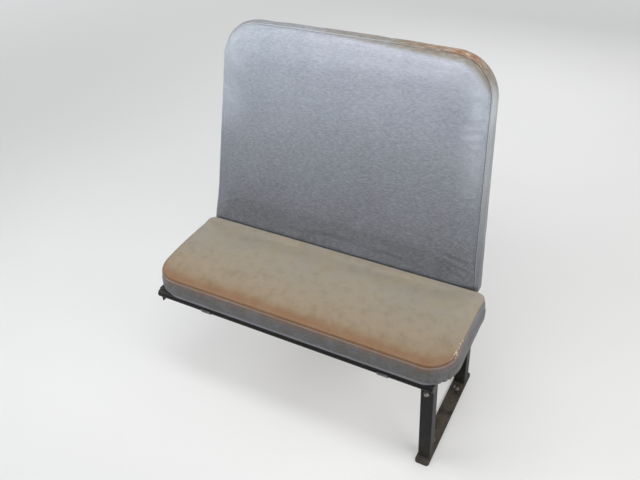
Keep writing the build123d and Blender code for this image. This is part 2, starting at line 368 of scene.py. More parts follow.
def new_finish(name):
    """A material with no nodes yet, a wire to add them with, and its Object coordinates."""
    finish = bpy.data.materials.new(name)
    finish.use_nodes = True
    finish.node_tree.nodes.clear()
    paint = Wire(finish.node_tree)
    return finish, paint, paint.node("ShaderNodeTexCoord", output="Object")


def finish_with(paint, shader, kind="ShaderNodeOutputMaterial"):
    """Join a shader to the output of its material or world."""
    output = paint.tree.nodes.new(kind)
    paint.tree.links.new(shader.socket, output.inputs["Surface"])


def surface_of(paint, colour, rough, normal, specular=0.5, metal=0.0):
    """End a material with a Principled shader."""
    sockets = {
        "Base Color": colour, "Roughness": rough, "Normal": normal, "Specular IOR Level": specular,
        "Metallic": metal,
    }
    finish_with(paint, paint.node("ShaderNodeBsdfPrincipled", None, sockets))


# Colours of the vinyl, of its dirt and wear, of its painted sheen and painted shade, and of its thread
vinyl_blue = rgb(0.180, 0.205, 0.240)
vinyl_violet = rgb(0.201, 0.202, 0.245)
vinyl_pale = rgb(0.270, 0.290, 0.328)
vinyl_shaded = rgb(0.082, 0.081, 0.088)
vinyl_sheen = rgb(0.390, 0.418, 0.468)
lip_pale = rgb(0.490, 0.505, 0.515)
dirt_and_shade_dark = rgb(0.034, 0.034, 0.036)
crease_shade_dark = rgb(0.040, 0.034, 0.026)
grime_olive = rgb(0.112, 0.088, 0.046)
grime_orange = rgb(0.165, 0.066, 0.012)
rubbed_cream = rgb(0.420, 0.370, 0.310)
shoe_black = rgb(0.060, 0.058, 0.058)
soil_tan = rgb(0.270, 0.224, 0.162)
soil_grey = rgb(0.242, 0.218, 0.178)
soil_ochre = rgb(0.224, 0.162, 0.088)
blot_brown = rgb(0.162, 0.126, 0.076)
speck_brown = rgb(0.140, 0.108, 0.068)
side_dirt_and_shade = rgb(0.088, 0.078, 0.064)
stain_brown = rgb(0.168, 0.076, 0.026)
worn_pale = rgb(0.520, 0.500, 0.450)
backing_pale = rgb(0.560, 0.520, 0.430)
hem_blue = rgb(0.215, 0.235, 0.280)
hem_dust = rgb(0.260, 0.235, 0.190)
thread_blue = rgb(0.165, 0.185, 0.228)
thread_dirt = rgb(0.135, 0.115, 0.080)

# Colours of the frame, the board and the fasteners
enamel_black = rgb(0.006, 0.006, 0.007)
enamel_worn = rgb(0.030, 0.029, 0.028)
scuff_grey = rgb(0.075, 0.075, 0.078)
chip_rust = rgb(0.110, 0.052, 0.025)
enamel_dust = rgb(0.150, 0.126, 0.094)
weld_black = rgb(0.020, 0.020, 0.021)
rust_brown = rgb(0.130, 0.062, 0.030)
cap_black = rgb(0.022, 0.022, 0.024)
cap_dust = rgb(0.160, 0.140, 0.110)
veneer_light = rgb(0.460, 0.310, 0.165)
veneer_dark = rgb(0.300, 0.185, 0.088)
ply_dark = rgb(0.220, 0.135, 0.065)
ply_light = rgb(0.440, 0.300, 0.165)
pore_brown = rgb(0.120, 0.070, 0.035)
board_stain = rgb(0.140, 0.100, 0.060)
zinc_dark = rgb(0.230, 0.235, 0.240)
zinc_light = rgb(0.340, 0.345, 0.350)
zinc_grime = rgb(0.090, 0.086, 0.080)
zinc_bloom = rgb(0.320, 0.320, 0.310)
zinc_rust = rgb(0.200, 0.085, 0.035)
bolt_grey = rgb(0.210, 0.205, 0.195)


def vinyl_grain(paint, place):
    """Relief of the vinyl: pebbles of about 1.6 mm with creases between them, finer pores, level ripples
    of a few millimetres, and soft puckers."""
    pebbles = paint.cells(place, 620, "DISTANCE_TO_EDGE").step(0.0, 0.22)
    pores = paint.noise(place, 1900, 2.0)
    ripples = paint.noise(place, (95, 300, 300), 2.0, 0.5)
    puckers = paint.noise(place, 150, 2.0, 0.55)
    return pebbles * 0.45 + pores * 0.20 + ripples * 0.9 + puckers * 0.9


def vinyl_colour(paint, place, low):
    """Blue-grey that wanders between bluer and more violet, with clouds, fine level streaks that are painted
    glints of the grain, and painted shade, a darker tone, where low is 1."""
    hue = paint.noise(place, 3.1, 3.0, 0.55).step(0.36, 0.64)
    clouds = paint.noise(place, 6.5, 5.0, 0.62).step(0.30, 0.72)
    streaks = paint.noise(place, (85, 330, 330), 3.0, 0.6).step(0.34, 0.68)
    mottle = paint.noise(place, 120, 4.0, 0.65).step(0.32, 0.7)
    base = hue.mix(vinyl_blue, vinyl_violet)
    base = (clouds * 0.40 + mottle * 0.22).mix(base, vinyl_pale)
    # Painted shade: darker where low is 1
    base = (low * (0.66 + clouds * 0.34)).mix(base, vinyl_shaded)
    # Painted glints: lighter along the level streaks and darker between them
    base = (streaks * 0.22).mix(base, vinyl_sheen)
    return ((1 - streaks) * 0.20).mix(base, vinyl_shaded)


def back_vinyl():
    """Vinyl of the back: olive grime along the top where it is held, orange at the aisle corner and rubbed
    off again in streaks along the edge, painted shade that darkens it low down and where the cushion meets
    it, dark shoe marks behind, a dark line in each seam from dirt and painted shade, and painted highlights:
    a pale line beside the front seam, a pale aisle side and bright bands on the face near its edges."""
    finish, paint, place = new_finish("back_vinyl")
    low, grime, handled, kicked = paint.attributes("low", "grime", "handled", "kicked")
    polished, seam, lip, along, girth = paint.attributes("polished", "seam", "lip", "along", "girth")
    patches = paint.noise(place, 16, 6.0, 0.70)
    speckle = paint.noise(place, 170, 4.0, 0.75)
    # Painted highlight: the face is mixed towards the sheen colour in bands near its edges
    highlight_share = polished * (patches.step(0.22, 0.70) * 0.55 + 0.28)
    colour = (highlight_share * 0.42).mix(vinyl_colour(paint, place, low), vinyl_sheen)
    dirt = (grime * (patches * 1.2 + speckle * 0.3 - 0.04)).step(0.04, 0.66)
    tint = (handled * (patches * 1.4 + speckle * 0.7 - 0.3)).step(0.10, 0.62)
    colour = (dirt * (0.80 + handled * 0.14)).mix(colour, tint.mix(grime_olive, grime_orange))
    edge_place = paint.node("ShaderNodeCombineXYZ", None, {0: along * 34, 1: girth * 230})
    rubbed = paint.noise(edge_place, 1.0, 4.0, 0.70).step(0.49, 0.58) * dirt
    colour = (rubbed * (0.20 + handled * 0.50)).mix(colour, rubbed_cream)
    # Painted highlight: a pale line beside the front seam and a pale aisle side
    colour = (lip * (0.35 + speckle * 0.6)).mix(colour, lip_pale)
    marks = paint.noise(place, (13, 13, 34), 5.0, 0.66).step(0.54, 0.65) * speckle.step(0.36, 0.60)
    colour = (marks * kicked * 0.75).mix(colour, shoe_black)
    # Dirt and painted shade in the seams and on the hem, painted shade where the cushion meets the face
    colour = (seam * 0.80).mix(colour, dirt_and_shade_dark)
    gloss = paint.noise(place, 40, 4.0, 0.6)
    rough = 0.36 + gloss * 0.16 + dirt * 0.26 - highlight_share * 0.07
    surface_of(paint, colour, rough, paint.bump(vinyl_grain(paint, place), 0.00032, 0.7))
    return finish


def cushion_vinyl():
    """Vinyl of the cushion: its top is soiled tan behind and ochre in front, orange-brown along the front
    seam, chipped pale at the aisle end of that edge. Painted shade darkens it between the pleats and next
    to the back, and dirt with painted shade darkens the seam. Its sides are darker than the top, as
    painted shade, and darker still towards the front, as dirt and painted shade."""
    finish, paint, place = new_finish("cushion_vinyl")
    soil, stain, wear, low = paint.attributes("soil", "stain", "wear", "low")
    seam, forward, fold = paint.attributes("seam", "forward", "fold")
    clouds = paint.noise(place, 9, 6.0, 0.68)
    blots = paint.noise(place, 30, 3.0, 0.58)
    speckle = paint.noise(place, 230, 4.0, 0.75)
    streaks = paint.noise(place, (26, 90, 90), 4.0, 0.7)
    tan = (clouds * 0.9 + streaks * 0.6).step(0.50, 0.95).mix(soil_tan, soil_grey)
    tan = (forward * (0.35 + clouds * 0.75)).mix(tan, soil_ochre)
    tan = (blots.step(0.42, 0.74) * (0.30 + forward * 0.34)).mix(tan, blot_brown)
    tan = (speckle.step(0.52, 0.72) * 0.30).mix(tan, speck_brown)
    cover = (soil * (clouds * 1.2 + speckle * 0.5 + 0.15)).step(0.15, 0.85)
    colour = (cover * 0.95).mix(vinyl_colour(paint, place, low), tan)
    # Dirt and painted shade: the sides are darker, more so towards the front
    dirty = paint.noise(place, (30, 30, 14), 5.0, 0.7).step(0.36, 0.64) * 0.6 + 0.40
    dirty = dirty * (1 - soil) * (forward * 0.45 + 0.55)
    colour = (dirty * 0.75).mix(colour, side_dirt_and_shade)
    rubbed_in = (stain * (clouds * 0.8 + blots * 0.8 + 0.05)).step(0.05, 0.95)
    colour = (rubbed_in * 0.88).mix(colour, stain_brown)
    colour = (wear * speckle.step(0.46, 0.62) * 0.25).mix(colour, worn_pale)
    chips = paint.cells(place, 120).step(0.56, 0.36) * paint.noise(place, 60, 3.0).step(0.40, 0.50)
    colour = (wear.step(0.34, 0.66) * chips * 0.8).mix(colour, backing_pale)
    # Painted shade between the pleats and next to the back, dirt and painted shade in the seam
    colour = (seam * 0.62 + fold * 0.78).step(0.0, 1.0).mix(colour, crease_shade_dark)
    rough = 0.42 + clouds * 0.14 + cover * 0.12
    normal = paint.bump(vinyl_grain(paint, place) + blots * 1.2, 0.00034, 0.7)
    surface_of(paint, colour, rough, normal, specular=0.45)
    return finish


def hem_vinyl():
    """Cut edge and turned margin of the vinyl: the same skin, dustier."""
    finish, paint, place = new_finish("hem_vinyl")
    dust = paint.noise(place, 40, 5.0, 0.65).step(0.35, 0.7)
    colour = (dust * 0.5).mix(hem_blue, hem_dust)
    surface_of(paint, colour, dust * 0.15 + 0.62, paint.bump(vinyl_grain(paint, place), 0.00022, 0.5))
    return finish


def thread_finish():
    """Twisted polyester thread, grey-blue, dirty in places."""
    finish, paint, place = new_finish("thread")
    dirt = paint.noise(place, 30, 3.0).step(0.4, 0.7)
    colour = (dirt * 0.7).mix(thread_blue, thread_dirt)
    surface_of(paint, colour, 0.65, paint.bump(paint.noise(place, 2600, 1.0), 0.0002, 0.6))
    return finish


def enamel_finish():
    """Black enamel, half glossy: worn duller, scuffed to grey, chipped to brown rust, with dust on what
    faces up and near the floor."""
    finish, paint, place = new_finish("black_enamel")
    up = paint.node("ShaderNodeTexCoord", output="Normal").z().step(0.25, 0.95)
    near_floor = 1 - place.z().step(0.0, 0.14)
    clouds = paint.noise(place, 22, 5.0, 0.65)
    scuffs = paint.noise(place, (260, 260, 45), 4.0, 0.7).step(0.60, 0.72) * clouds.step(0.42, 0.62)
    chips = paint.noise(place, 75, 5.0, 0.75).step(0.650, 0.685)
    dust = (up * 0.7 + near_floor * 0.6) * clouds.step(0.28, 0.62)
    worn = paint.noise(place, 55, 6.0, 0.75).step(0.54, 0.66)
    colour = (worn * 0.55).mix(enamel_black, enamel_worn)
    colour = (scuffs * 0.50).mix(colour, scuff_grey)
    colour = (chips * 0.85).mix(colour, chip_rust)
    colour = (dust * 0.38).mix(colour, enamel_dust)
    rough = 0.36 + scuffs * 0.20 + dust * 0.30 + chips * 0.25 + clouds * 0.08
    relief = paint.noise(place, 420, 2.0) * 0.5 - chips * 1.2
    surface_of(paint, colour, rough, paint.bump(relief, 0.0003, 0.35), specular=0.16)
    return finish


def plywood_finish():
    """Plywood: long veneer grain along X on its faces, and plies of 1.8 mm on its edges."""
    finish, paint, place = new_finish("plywood_board")
    two_plies = 0.0036
    facing = paint.node("ShaderNodeTexCoord", output="Normal").z()
    face = paint.maths("ABSOLUTE", facing, 0.0).step(0.4, 0.8)
    grain = paint.noise(place, (9, 150, 150), 5.0, 0.62)
    pores = paint.noise(place, (60, 1500, 1500), 2.0).step(0.56, 0.66)
    plies = paint.maths("SINE", place.z() * (2 * pi / two_plies), 0.0)
    veneer = grain.step(0.32, 0.68).mix(veneer_light, veneer_dark)
    edges = plies.step(-0.3, 0.3).mix(ply_dark, ply_light)
    colour = face.mix(edges, (pores * 0.6).mix(veneer, pore_brown))
    stains = paint.noise(place, 7, 4.0, 0.6).step(0.5, 0.75)
    colour = (stains * 0.45).mix(colour, board_stain)
    surface_of(paint, colour, grain * 0.2 + 0.62, paint.bump(grain * 0.6 - pores * 0.6, 0.0004, 0.5))
    return finish


def zinc_finish():
    """Galvanised spring steel: spangles of about 5 mm, white bloom, grime and a little rust."""
    finish, paint, place = new_finish("zinc_strip")
    spangle = paint.node("ShaderNodeTexVoronoi", None, {"Vector": place, "Scale": 190.0}, "Color")
    tone = paint.node("ShaderNodeSeparateColor", None, {0: spangle}, "Red")
    bloom = paint.noise(place, 60, 5.0, 0.7).step(0.52, 0.72)
    rust = paint.noise(place, 38, 5.0, 0.75).step(0.60, 0.68)
    grime = paint.noise(place, 45, 4.0, 0.6).step(0.30, 0.62)
    colour = (tone * 0.5).mix(zinc_dark, zinc_light)
    colour = (grime * 0.80).mix(colour, zinc_grime)
    colour = (bloom * 0.4).mix(colour, zinc_bloom)
    colour = (rust * 0.85).mix(colour, zinc_rust)
    metal = 1 - (bloom * 0.6 + rust * 0.9).step(0.1, 1.1)
    rough = 0.32 + tone * 0.12 + bloom * 0.25 + grime * 0.22 + rust * 0.30
    surface_of(paint, colour, rough, paint.bump(paint.noise(place, 500, 3.0), 0.0002, 0.3), metal=metal)
    return finish


def bolt_finish():
    """Plated fasteners that have darkened and rusted in patches."""
    finish, paint, place = new_finish("bolt_steel")
    patches = paint.noise(place, 160, 5.0, 0.7)
    rust = patches.step(0.56, 0.70)
    colour = (rust * 0.8).mix(bolt_grey, rust_brown)
    surface_of(paint, colour, rust * 0.35 + 0.36, paint.bump(patches, 0.0004, 0.4), metal=1 - rust * 0.8)
    return finish


def weld_finish():
    """Weld beads under the enamel: the same black with patches of rust."""
    finish, paint, place = new_finish("weld_paint")
    rust = paint.noise(place, 130, 5.0, 0.7).step(0.58, 0.70)
    colour = (rust * 0.8).mix(weld_black, rust_brown)
    surface_of(paint, colour, rust * 0.3 + 0.42, paint.bump(paint.noise(place, 700, 3.0), 0.0003, 0.5))
    return finish


def cap_finish():
    """Moulded black plastic with a fine spark texture, greyed by dust."""
    finish, paint, place = new_finish("cap_plastic")
    dust = paint.noise(place, 70, 5.0, 0.7).step(0.45, 0.75)
    colour = (dust * 0.35).mix(cap_black, cap_dust)
    surface_of(paint, colour, dust * 0.2 + 0.46, paint.bump(paint.noise(place, 1500, 2.0), 0.0002, 0.5))
    return finish


back_skin = back_vinyl()
cushion_skin = cushion_vinyl()
hem_skin = hem_vinyl()
thread = thread_finish()
black_enamel = enamel_finish()
plywood = plywood_finish()
zinc = zinc_finish()
bolt_steel = bolt_finish()
weld_paint = weld_finish()
cap_plastic = cap_finish()

node_finishes = {
    black_enamel: (
        "foot_rail", "front_leg", "rear_leg", "front_leg_gusset", "rear_leg_gusset", "aisle_rail",
        "wall_rail", "front_tube", "rear_tube", "wall_bracket_front", "wall_bracket_rear", "back_frame",
        "back_bar",
    ),
    plywood: ("cushion_board",),
    zinc: ("hinge_hook_wall", "hinge_hook_aisle", "rear_clip_wall", "rear_clip_aisle"),
    cap_plastic: ("front_tube_cap_wall", "front_tube_cap_aisle", "aisle_rail_cap", "wall_rail_cap"),
}
for finish, names in node_finishes.items():
    for name in names:
        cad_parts[name].material_slots[0].material = finish


# Padded covers
arc_half_steps = 24
least_corner = 0.004
girth_thickness = 0.07  # at which the distance along a cover's profile is measured
sewn_reach = 0.007  # cloth nearer than this to a sewn line is held
start_inset = 0.004  # how far the simulated shell starts inside the cover
blow_pressure = 3.0
simulated_frames = 20
wrap_reach = 0.05
smoothing_rounds = 12
stitch_pitch = 0.0068
stitch_length = 0.0052
thread_thickness = 0.0009


def rounded_outline(corners, radii, counts):
    """Closed outline with round corners, walked anticlockwise from the middle of the first corner's arc.
    A corner's arc has its centre inside by radius / cos(half the turn), and straight runs join the arcs.
    The walk is divided evenly from each arc's middle to the next. Gives points and outward normals."""
    corners = np.array(corners, float)
    ahead = unit(np.roll(corners, -1, 0) - corners)
    behind = np.roll(ahead, 1, 0)
    turn = np.arctan2(behind[:, 0] * ahead[:, 1] - behind[:, 1] * ahead[:, 0], (behind * ahead).sum(1))
    start = np.arctan2(-behind[:, 0], behind[:, 1])
    arcs = []
    for corner, radius, angle, bend in zip(corners, radii, start, turn):
        middle = angle + bend / 2
        centre = corner - radius / cos(bend / 2) * np.array([cos(middle), sin(middle)])
        sweep = angle + bend * np.linspace(0, 1, 2 * arc_half_steps + 1)
        facing = np.stack((np.cos(sweep), np.sin(sweep)), -1)
        arcs.append(np.concatenate((centre + radius * facing, facing), 1))
    found = []
    for arc_here, arc_next, count in zip(arcs, arcs[1:] + arcs[:1], counts):
        walk = np.concatenate((arc_here[arc_half_steps:], arc_next[: arc_half_steps + 1]))
        length = lengths_along(walk[:, :2])
        found.append(read_off(np.linspace(0, length[-1], count, endpoint=False), length, walk))
    found = np.concatenate(found)
    return found[:, :2], unit(found[:, 2:])


def drawn_in(corners, inset):
    """Corners of an outline, walked anticlockwise, whose sides have all moved inwards by the inset."""
    corners = np.array(corners, float)
    ahead = unit(np.roll(corners, -1, 0) - corners)
    outward = np.stack((ahead[:, 1], -ahead[:, 0]), -1)
    behind = np.roll(outward, 1, 0)
    return corners - inset * (outward + behind) / (1 + (outward * behind).sum(1, keepdims=True))


def patch_points(edge, columns, rows):
    """Points over a closed edge: the sum of the two ruled surfaces between its facing sides, less the
    bilinear surface through its four corners."""
    bottom, side = edge[: columns + 1], edge[columns : columns + rows + 1]
    top = edge[columns + rows : 2 * columns + rows + 1][::-1]
    other = np.concatenate((edge[2 * columns + rows :], edge[:1]))[::-1]
    a = np.linspace(0, 1, columns + 1)[None, :, None]
    b = np.linspace(0, 1, rows + 1)[:, None, None]
    ruled = (1 - b) * bottom[None] + b * top[None] + (1 - a) * other[:, None] + a * side[:, None]
    return ruled - (1 - b) * ((1 - a) * bottom[0] + a * bottom[-1]) - b * ((1 - a) * top[0] + a * top[-1])


def cover_quads(rings, columns, rows):
    """Faces of a cover: strips between its rings of 2 * (columns + rows) points, and a patch on its first
    and its last ring. The points go ring by ring, then inside the first patch, then inside the last."""
    size = 2 * (columns + rows)
    k, s = np.arange(rings - 1)[:, None] * size, np.arange(size)[None]
    beside = (s + 1) % size
    strips = np.stack((k + s, k + size + s, k + size + beside, k + beside), -1).reshape(-1, 4)
    inside = (columns - 1) * (rows - 1)
    patches = []
    for ring, first in ((0, rings * size), (rings - 1, rings * size + inside)):
        place = np.zeros((rows + 1, columns + 1), int)
        place[0, :] = np.arange(columns + 1)
        place[:, columns] = np.arange(columns, columns + rows + 1)
        place[rows, ::-1] = np.arange(columns + rows, 2 * columns + rows + 1)
        place[::-1, 0] = np.arange(2 * columns + rows, size + 1) % size
        place += ring * size
        place[1:rows, 1:columns] = first + np.arange(inside).reshape(rows - 1, columns - 1)
        quads = np.stack((place[:-1, :-1], place[:-1, 1:], place[1:, 1:], place[1:, :-1]), -1).reshape(-1, 4)
        patches.append(quads if ring == 0 else quads[:, ::-1])
    return np.concatenate([strips] + patches)


def gap_to(points, others):
    """Distance from each point to the nearest of the others, worked out for some thousands at a time."""
    at_once = 3000
    found = []
    for start in range(0, len(points), at_once):
        part = points[start : start + at_once]
        found.append(np.sqrt(((part[:, None] - others[None]) ** 2).sum(-1).min(1)))
    return np.concatenate(found)


class Cover:
    """Grid over a padded piece. Its plan is an outline with round corners, and its profile says, for each
    ring, how far it lies inside the outline, its depth below the face, and the share of the thickness
    that is added to the depth: 0 in front, 1 behind. A ring's corners are as much sharper as it lies
    inside, down to a least radius. A patch closes the first and the last ring. For each point the cover
    also holds its ring, its number along the ring, its gap to the outline in plan, the outline's outward
    direction, and its girth, which is the distance along the profile."""

    def __init__(self, corners, radii, counts, profile, shrink):
        columns, rows = counts
        self.size = 2 * (columns + rows)
        ring_count = len(profile)
        lines = []
        for inset in np.concatenate(([shrink], shrink + profile[:, 0])):
            sharper = np.maximum(np.array(radii) - inset, least_corner)
            lines.append(rounded_outline(drawn_in(corners, inset), sharper, counts * 2))
        outline, facing = lines[0]
        rings = np.stack([line for line, _ in lines[1:]])
        patches = [
            patch_points(ring, columns, rows)[1:-1, 1:-1].reshape(-1, 2) for ring in (rings[0], rings[-1])
        ]
        in_patch = len(patches[0])
        self.plan = np.concatenate([rings.reshape(-1, 2)] + patches)
        repeats = [self.size] * ring_count + [in_patch, in_patch]
        self.depth = np.repeat(np.append(profile[:, 1], profile[[0, -1], 1]), repeats)
        self.share = np.repeat(np.append(profile[:, 2], profile[[0, -1], 2]), repeats)
        self.ring = np.repeat(np.append(np.arange(ring_count), [-1, ring_count]), repeats)
        self.around = np.append(np.tile(np.arange(self.size), ring_count), np.full(2 * in_patch, -1))
        self.outward = np.concatenate((np.tile(facing, (ring_count, 1)), np.zeros((2 * in_patch, 2))))
        self.inset = gap_to(self.plan, outline)
        self.girth_of_ring = lengths_along(profile[:, :2] + profile[:, 2:] * [0.0, girth_thickness])
        self.girth = np.concatenate(
            (
                np.repeat(self.girth_of_ring, self.size),
                profile[0, 0] - self.inset[self.ring < 0],
                self.girth_of_ring[-1] - profile[-1, 0] + self.inset[self.ring == ring_count],
            )
        )
        self.quads = cover_quads(ring_count, columns, rows)

    def loop(self, points, girth):
        """Line round the cover at a distance along the profile, between the two nearest rings."""
        rings = points[: len(self.girth_of_ring) * self.size].reshape(-1, self.size, 3)
        at = np.interp(girth, self.girth_of_ring, np.arange(len(rings)))
        low = int(at)
        return rings[low] + (at - low) * (rings[min(low + 1, len(rings) - 1)] - rings[low])


def edge_profile(round_front, round_rear, thickness, inner, fine=0.0018):
    """Profile of a padded edge: out from the front patch, a quarter circle, the straight side, a quarter
    circle behind and in to the rear patch. Rows are inset, depth and share of the thickness."""
    flat_step, side_step, rear_step, rear_flat_step = 0.0025, 0.0035, 0.0022, 0.003
    before_round = 0.0005
    front_angle = np.linspace(0, pi / 2, int(round_front * pi / 2 / fine))
    rear_angle = np.linspace(0, pi / 2, int(round_rear * pi / 2 / rear_step))
    side = np.linspace(0, 1, int((thickness - round_front - round_rear) / side_step) + 2)[1:-1]
    rows = [(inset, 0.0, 0.0) for inset in np.arange(inner, round_front + before_round, -flat_step)]
    rows += [(round_front * (1 - sin(t)), round_front * (1 - cos(t)), 0.0) for t in front_angle]
    rows += [(0.0, round_front + (-round_rear - round_front) * u, u) for u in side]
    rows += [(round_rear * (1 - cos(t)), round_rear * (sin(t) - 1), 1.0) for t in rear_angle]
    rows += [(inset, 0.0, 1.0) for inset in np.arange(round_rear + rear_flat_step, inner, rear_flat_step)]
    return np.array(rows + [(inner, 0.0, 1.0)])


def point_normals(points, quads):
    """Unit normal at each point: the sum of the normals of its faces, weighted by their area."""
    a, b, c, d = (points[quads[:, i]] for i in range(4))
    flat = np.cross(c - a, d - b)
    total = np.stack(
        [sum(np.bincount(quads[:, i], flat[:, j], len(points)) for i in range(4)) for j in range(3)], -1
    )
    return total / np.maximum(np.linalg.norm(total, axis=1, keepdims=True), 1e-12)


def smoothed(values, quads, rounds):
    """Values at points, each replaced again and again by the mean of itself and its neighbours."""
    ends = np.concatenate([quads[:, [i, (i + 1) % 4]] for i in range(4)])
    both = np.concatenate((ends, ends[:, ::-1]))
    count = np.bincount(both[:, 0], minlength=len(values))
    for _ in range(rounds):
        near = np.bincount(both[:, 0], values[both[:, 1]], len(values)) / count
        values = 0.5 * values + 0.5 * near
    return values


def points_of(mesh):
    """Places of a mesh's points."""
    found = np.empty(len(mesh.vertices) * 3, np.float32)
    mesh.vertices.foreach_get("co", found)
    return found.reshape(-1, 3)


def take_on(made):
    """Give an object the mesh that its modifiers make of it, and clear them."""
    mesh = bpy.data.meshes.new_from_object(made.evaluated_get(bpy.context.evaluated_depsgraph_get()))
    made.modifiers.clear()
    made.data = mesh


def inflated(name, start, quads, sewn, voxel, slack):
    """Simulate a cover: remesh a closed shell to even cells, hold it within reach of its sewn lines, give
    the cloth some slack and blow it up with no gravity. Gives the object, its Cloth applied."""
    made = build(name, (start, quads, no_fans), None, None)
    remesh = made.modifiers.new("even_cells", "REMESH")
    remesh.mode = "VOXEL"
    remesh.voxel_size = voxel
    take_on(made)
    held = made.vertex_groups.new(name="held")
    held.add(np.flatnonzero(gap_to(points_of(made.data), sewn) < sewn_reach).tolist(), 1.0, "REPLACE")
    cloth = made.modifiers.new("pressure", "CLOTH")
    settings = {
        "vertex_group_mass": "held", "use_pressure": True, "uniform_pressure_force": blow_pressure,
        "shrink_min": -slack, "quality": 4, "mass": 0.3, "tension_stiffness": 12,
        "compression_stiffness": 12, "bending_stiffness": 0.6,
    }
    for key, value in settings.items():
        setattr(cloth.settings, key, value)
    cloth.settings.effector_weights.gravity = 0
    cloth.collision_settings.use_collision = False
    scene = bpy.context.scene
    scene.frame_start, scene.frame_end = 1, simulated_frames
    for step in range(1, simulated_frames + 1):
        scene.frame_set(step)
    take_on(made)
    scene.frame_set(1)
    return made


def moved_onto(target, points, quads):
    """How far each point of a cover moves along its normal to lie on the simulated cloth."""
    probe = build("probe", (points, quads, no_fans), None, None)
    wrap = probe.modifiers.new("onto_cloth", "SHRINKWRAP")
    wrap.target = target
    wrap.wrap_method = "PROJECT"
    wrap.use_negative_direction = True
    wrap.use_positive_direction = True
    wrap.project_limit = wrap_reach
    found = points_of(probe.evaluated_get(bpy.context.evaluated_depsgraph_get()).data)
    bpy.data.objects.remove(probe)
    bpy.data.objects.remove(target)
    return ((found - points) * point_normals(points, quads)).sum(1)


def blown_up(name, cover, points, coarse, place, seams, voxel, slack):
    """How far each point of a cover stands out on its simulated cloth. The cloth starts as a coarser
    cover, a little smaller all round, and is held along its seams."""
    start = place(coarse.plan, coarse.depth + start_inset * (1 - 2 * coarse.share), coarse.share)
    sewn = np.concatenate([coarse.loop(start, seam) for seam in seams])
    cloth = inflated(name, start, coarse.quads, sewn, voxel, slack)
    return moved_onto(cloth, points, cover.quads)


def capped(swelling, most, quads):
    """Swelling that nears the most but never passes it, most * tanh(swelling / most), smoothed."""
    return smoothed(most * np.tanh(swelling / most), quads, smoothing_rounds)


def wrinkle(u, v, start, angle, length, width, height):
    """Soft fold on a face: a bell across its line, with a shallow trough on both sides, that rises and
    falls along its length. The line sags sideways as a half sine. U and v are places on the face, the
    angle is in degrees."""
    turn = radians(angle)
    along = (u - start[0]) * cos(turn) + (v - start[1]) * sin(turn)
    beside = (v - start[1]) * cos(turn) - (u - start[0]) * sin(turn)
    bend = beside - 0.048 * length * np.sin(pi * np.clip(along / length, 0, 1))
    body = swell(bend, 0, width) - 0.45 * swell(bend, 0, 2.2 * width)
    return height * body * rise(along, 0, 0.35 * length) * (1 - rise(along, 0.5 * length, length))


def folds(u, v, rows, longer=1.0, lower=1.0):
    """Sum of wrinkles, one a row of start, angle, length, width and height."""
    total = np.zeros(len(u))
    for start, angle, length, width, height in rows:
        total += wrinkle(u, v, start, angle, longer * length, width, lower * height)
    return total


def seam_relief(girth, seam, depth, width, ridge_gap, ridge_width, ridge=0.0010):
    """Relief across a seam: a bell on each side of it, as soft ridges, less a narrower bell, its groove."""
    ridges = swell(girth, seam - ridge_gap, ridge_width) + swell(girth, seam + ridge_gap, ridge_width)
    return ridge * ridges - depth * swell(girth, seam, width)


def stitched(place, ahead, lift):
    """One spindle of thread at each place. U runs along it from -1 to 1; its radius is half the thickness
    times sqrt(1 - u ** 4), and its middle line sinks into the cover as u ** 4."""
    ahead = unit(ahead)
    beside = unit(np.cross(lift, ahead))
    lift = np.cross(ahead, beside)
    u = np.linspace(-0.96, 0.96, 6)[:, None]
    angle = np.arange(6)[None] * pi / 3
    radius = thread_thickness / 2 * (1 - u**4) ** 0.5
    middle = thread_thickness * (0.30 - 0.75 * u**4)
    spindle = np.stack(
        (u * stitch_length / 2 + 0 * angle, radius * np.cos(angle), middle + radius * np.sin(angle)), -1
    )
    return repeated(lofted(spindle), place, np.stack((ahead, beside, lift), 1))


def stitch_row(cover, points, normals, girth):
    """Stitches evenly spaced along the line that runs round a cover at a distance along its profile."""
    line, lift = cover.loop(points, girth), cover.loop(normals, girth)
    line, lift = np.concatenate((line, line[:1])), np.concatenate((lift, lift[:1]))
    lengths = lengths_along(line)
    count = int(lengths[-1] / stitch_pitch)
    at = (np.arange(count) + 0.5) * lengths[-1] / count
    place = read_off(at, lengths, line)
    return stitched(place, read_off(at + 0.001, lengths, line) - place, read_off(at, lengths, lift))


def carry(made, **numbers):
    """Store numbers at each point of a mesh, for its material."""
    for name, values in numbers.items():
        attribute = made.data.attributes.new(name, "FLOAT", "POINT")
        attribute.data.foreach_set("value", np.ascontiguousarray(values, np.float32))


# Back cover
back_counts = (190, 136)
back_coarse_counts = (64, 46)
back_roll = 0.028  # radius at which the cover rolls over the front edge
back_rear_round = 0.012
back_patch_margin = 0.008
back_seam_turn = radians(46)  # how far round the roll the front seam lies
rear_seam_inset = 0.0185
hem_height = 0.031
hem_stitch_drop = 0.005
hem_end_gap = 0.030
stitch_offset = 0.0036  # of a row of stitches from its seam
outline_length = 3.12
back_lift = 0.0004  # of the cover from the pad
most_back_swelling = 0.0085
shoulder = back_length - back_crown


def back_half(height):
    """Half the width of the back at a height along its slope, changing evenly from foot to top."""
    return back_half_bottom + (back_half_top - back_half_bottom) * height / back_length


def back_place(plan, depth, share):
    """Points of the back in the row frame from x and height on its face and depth behind it. The top
    edge rises by the crown towards the middle, and the thickness falls evenly with the height."""
    x, h = plan[:, 0], plan[:, 1]
    lift = back_crown * (1 - (x / back_half_top) ** 2) * rise(h, 0.50, shoulder)
    h = h + np.maximum(lift, 0)
    thick = back_thickness_bottom - (back_thickness_bottom - back_thickness_top) * h / back_length
    d = depth + share * thick
    return back_foot + x[:, None] * across + h[:, None] * up_slope - d[:, None] * forwards


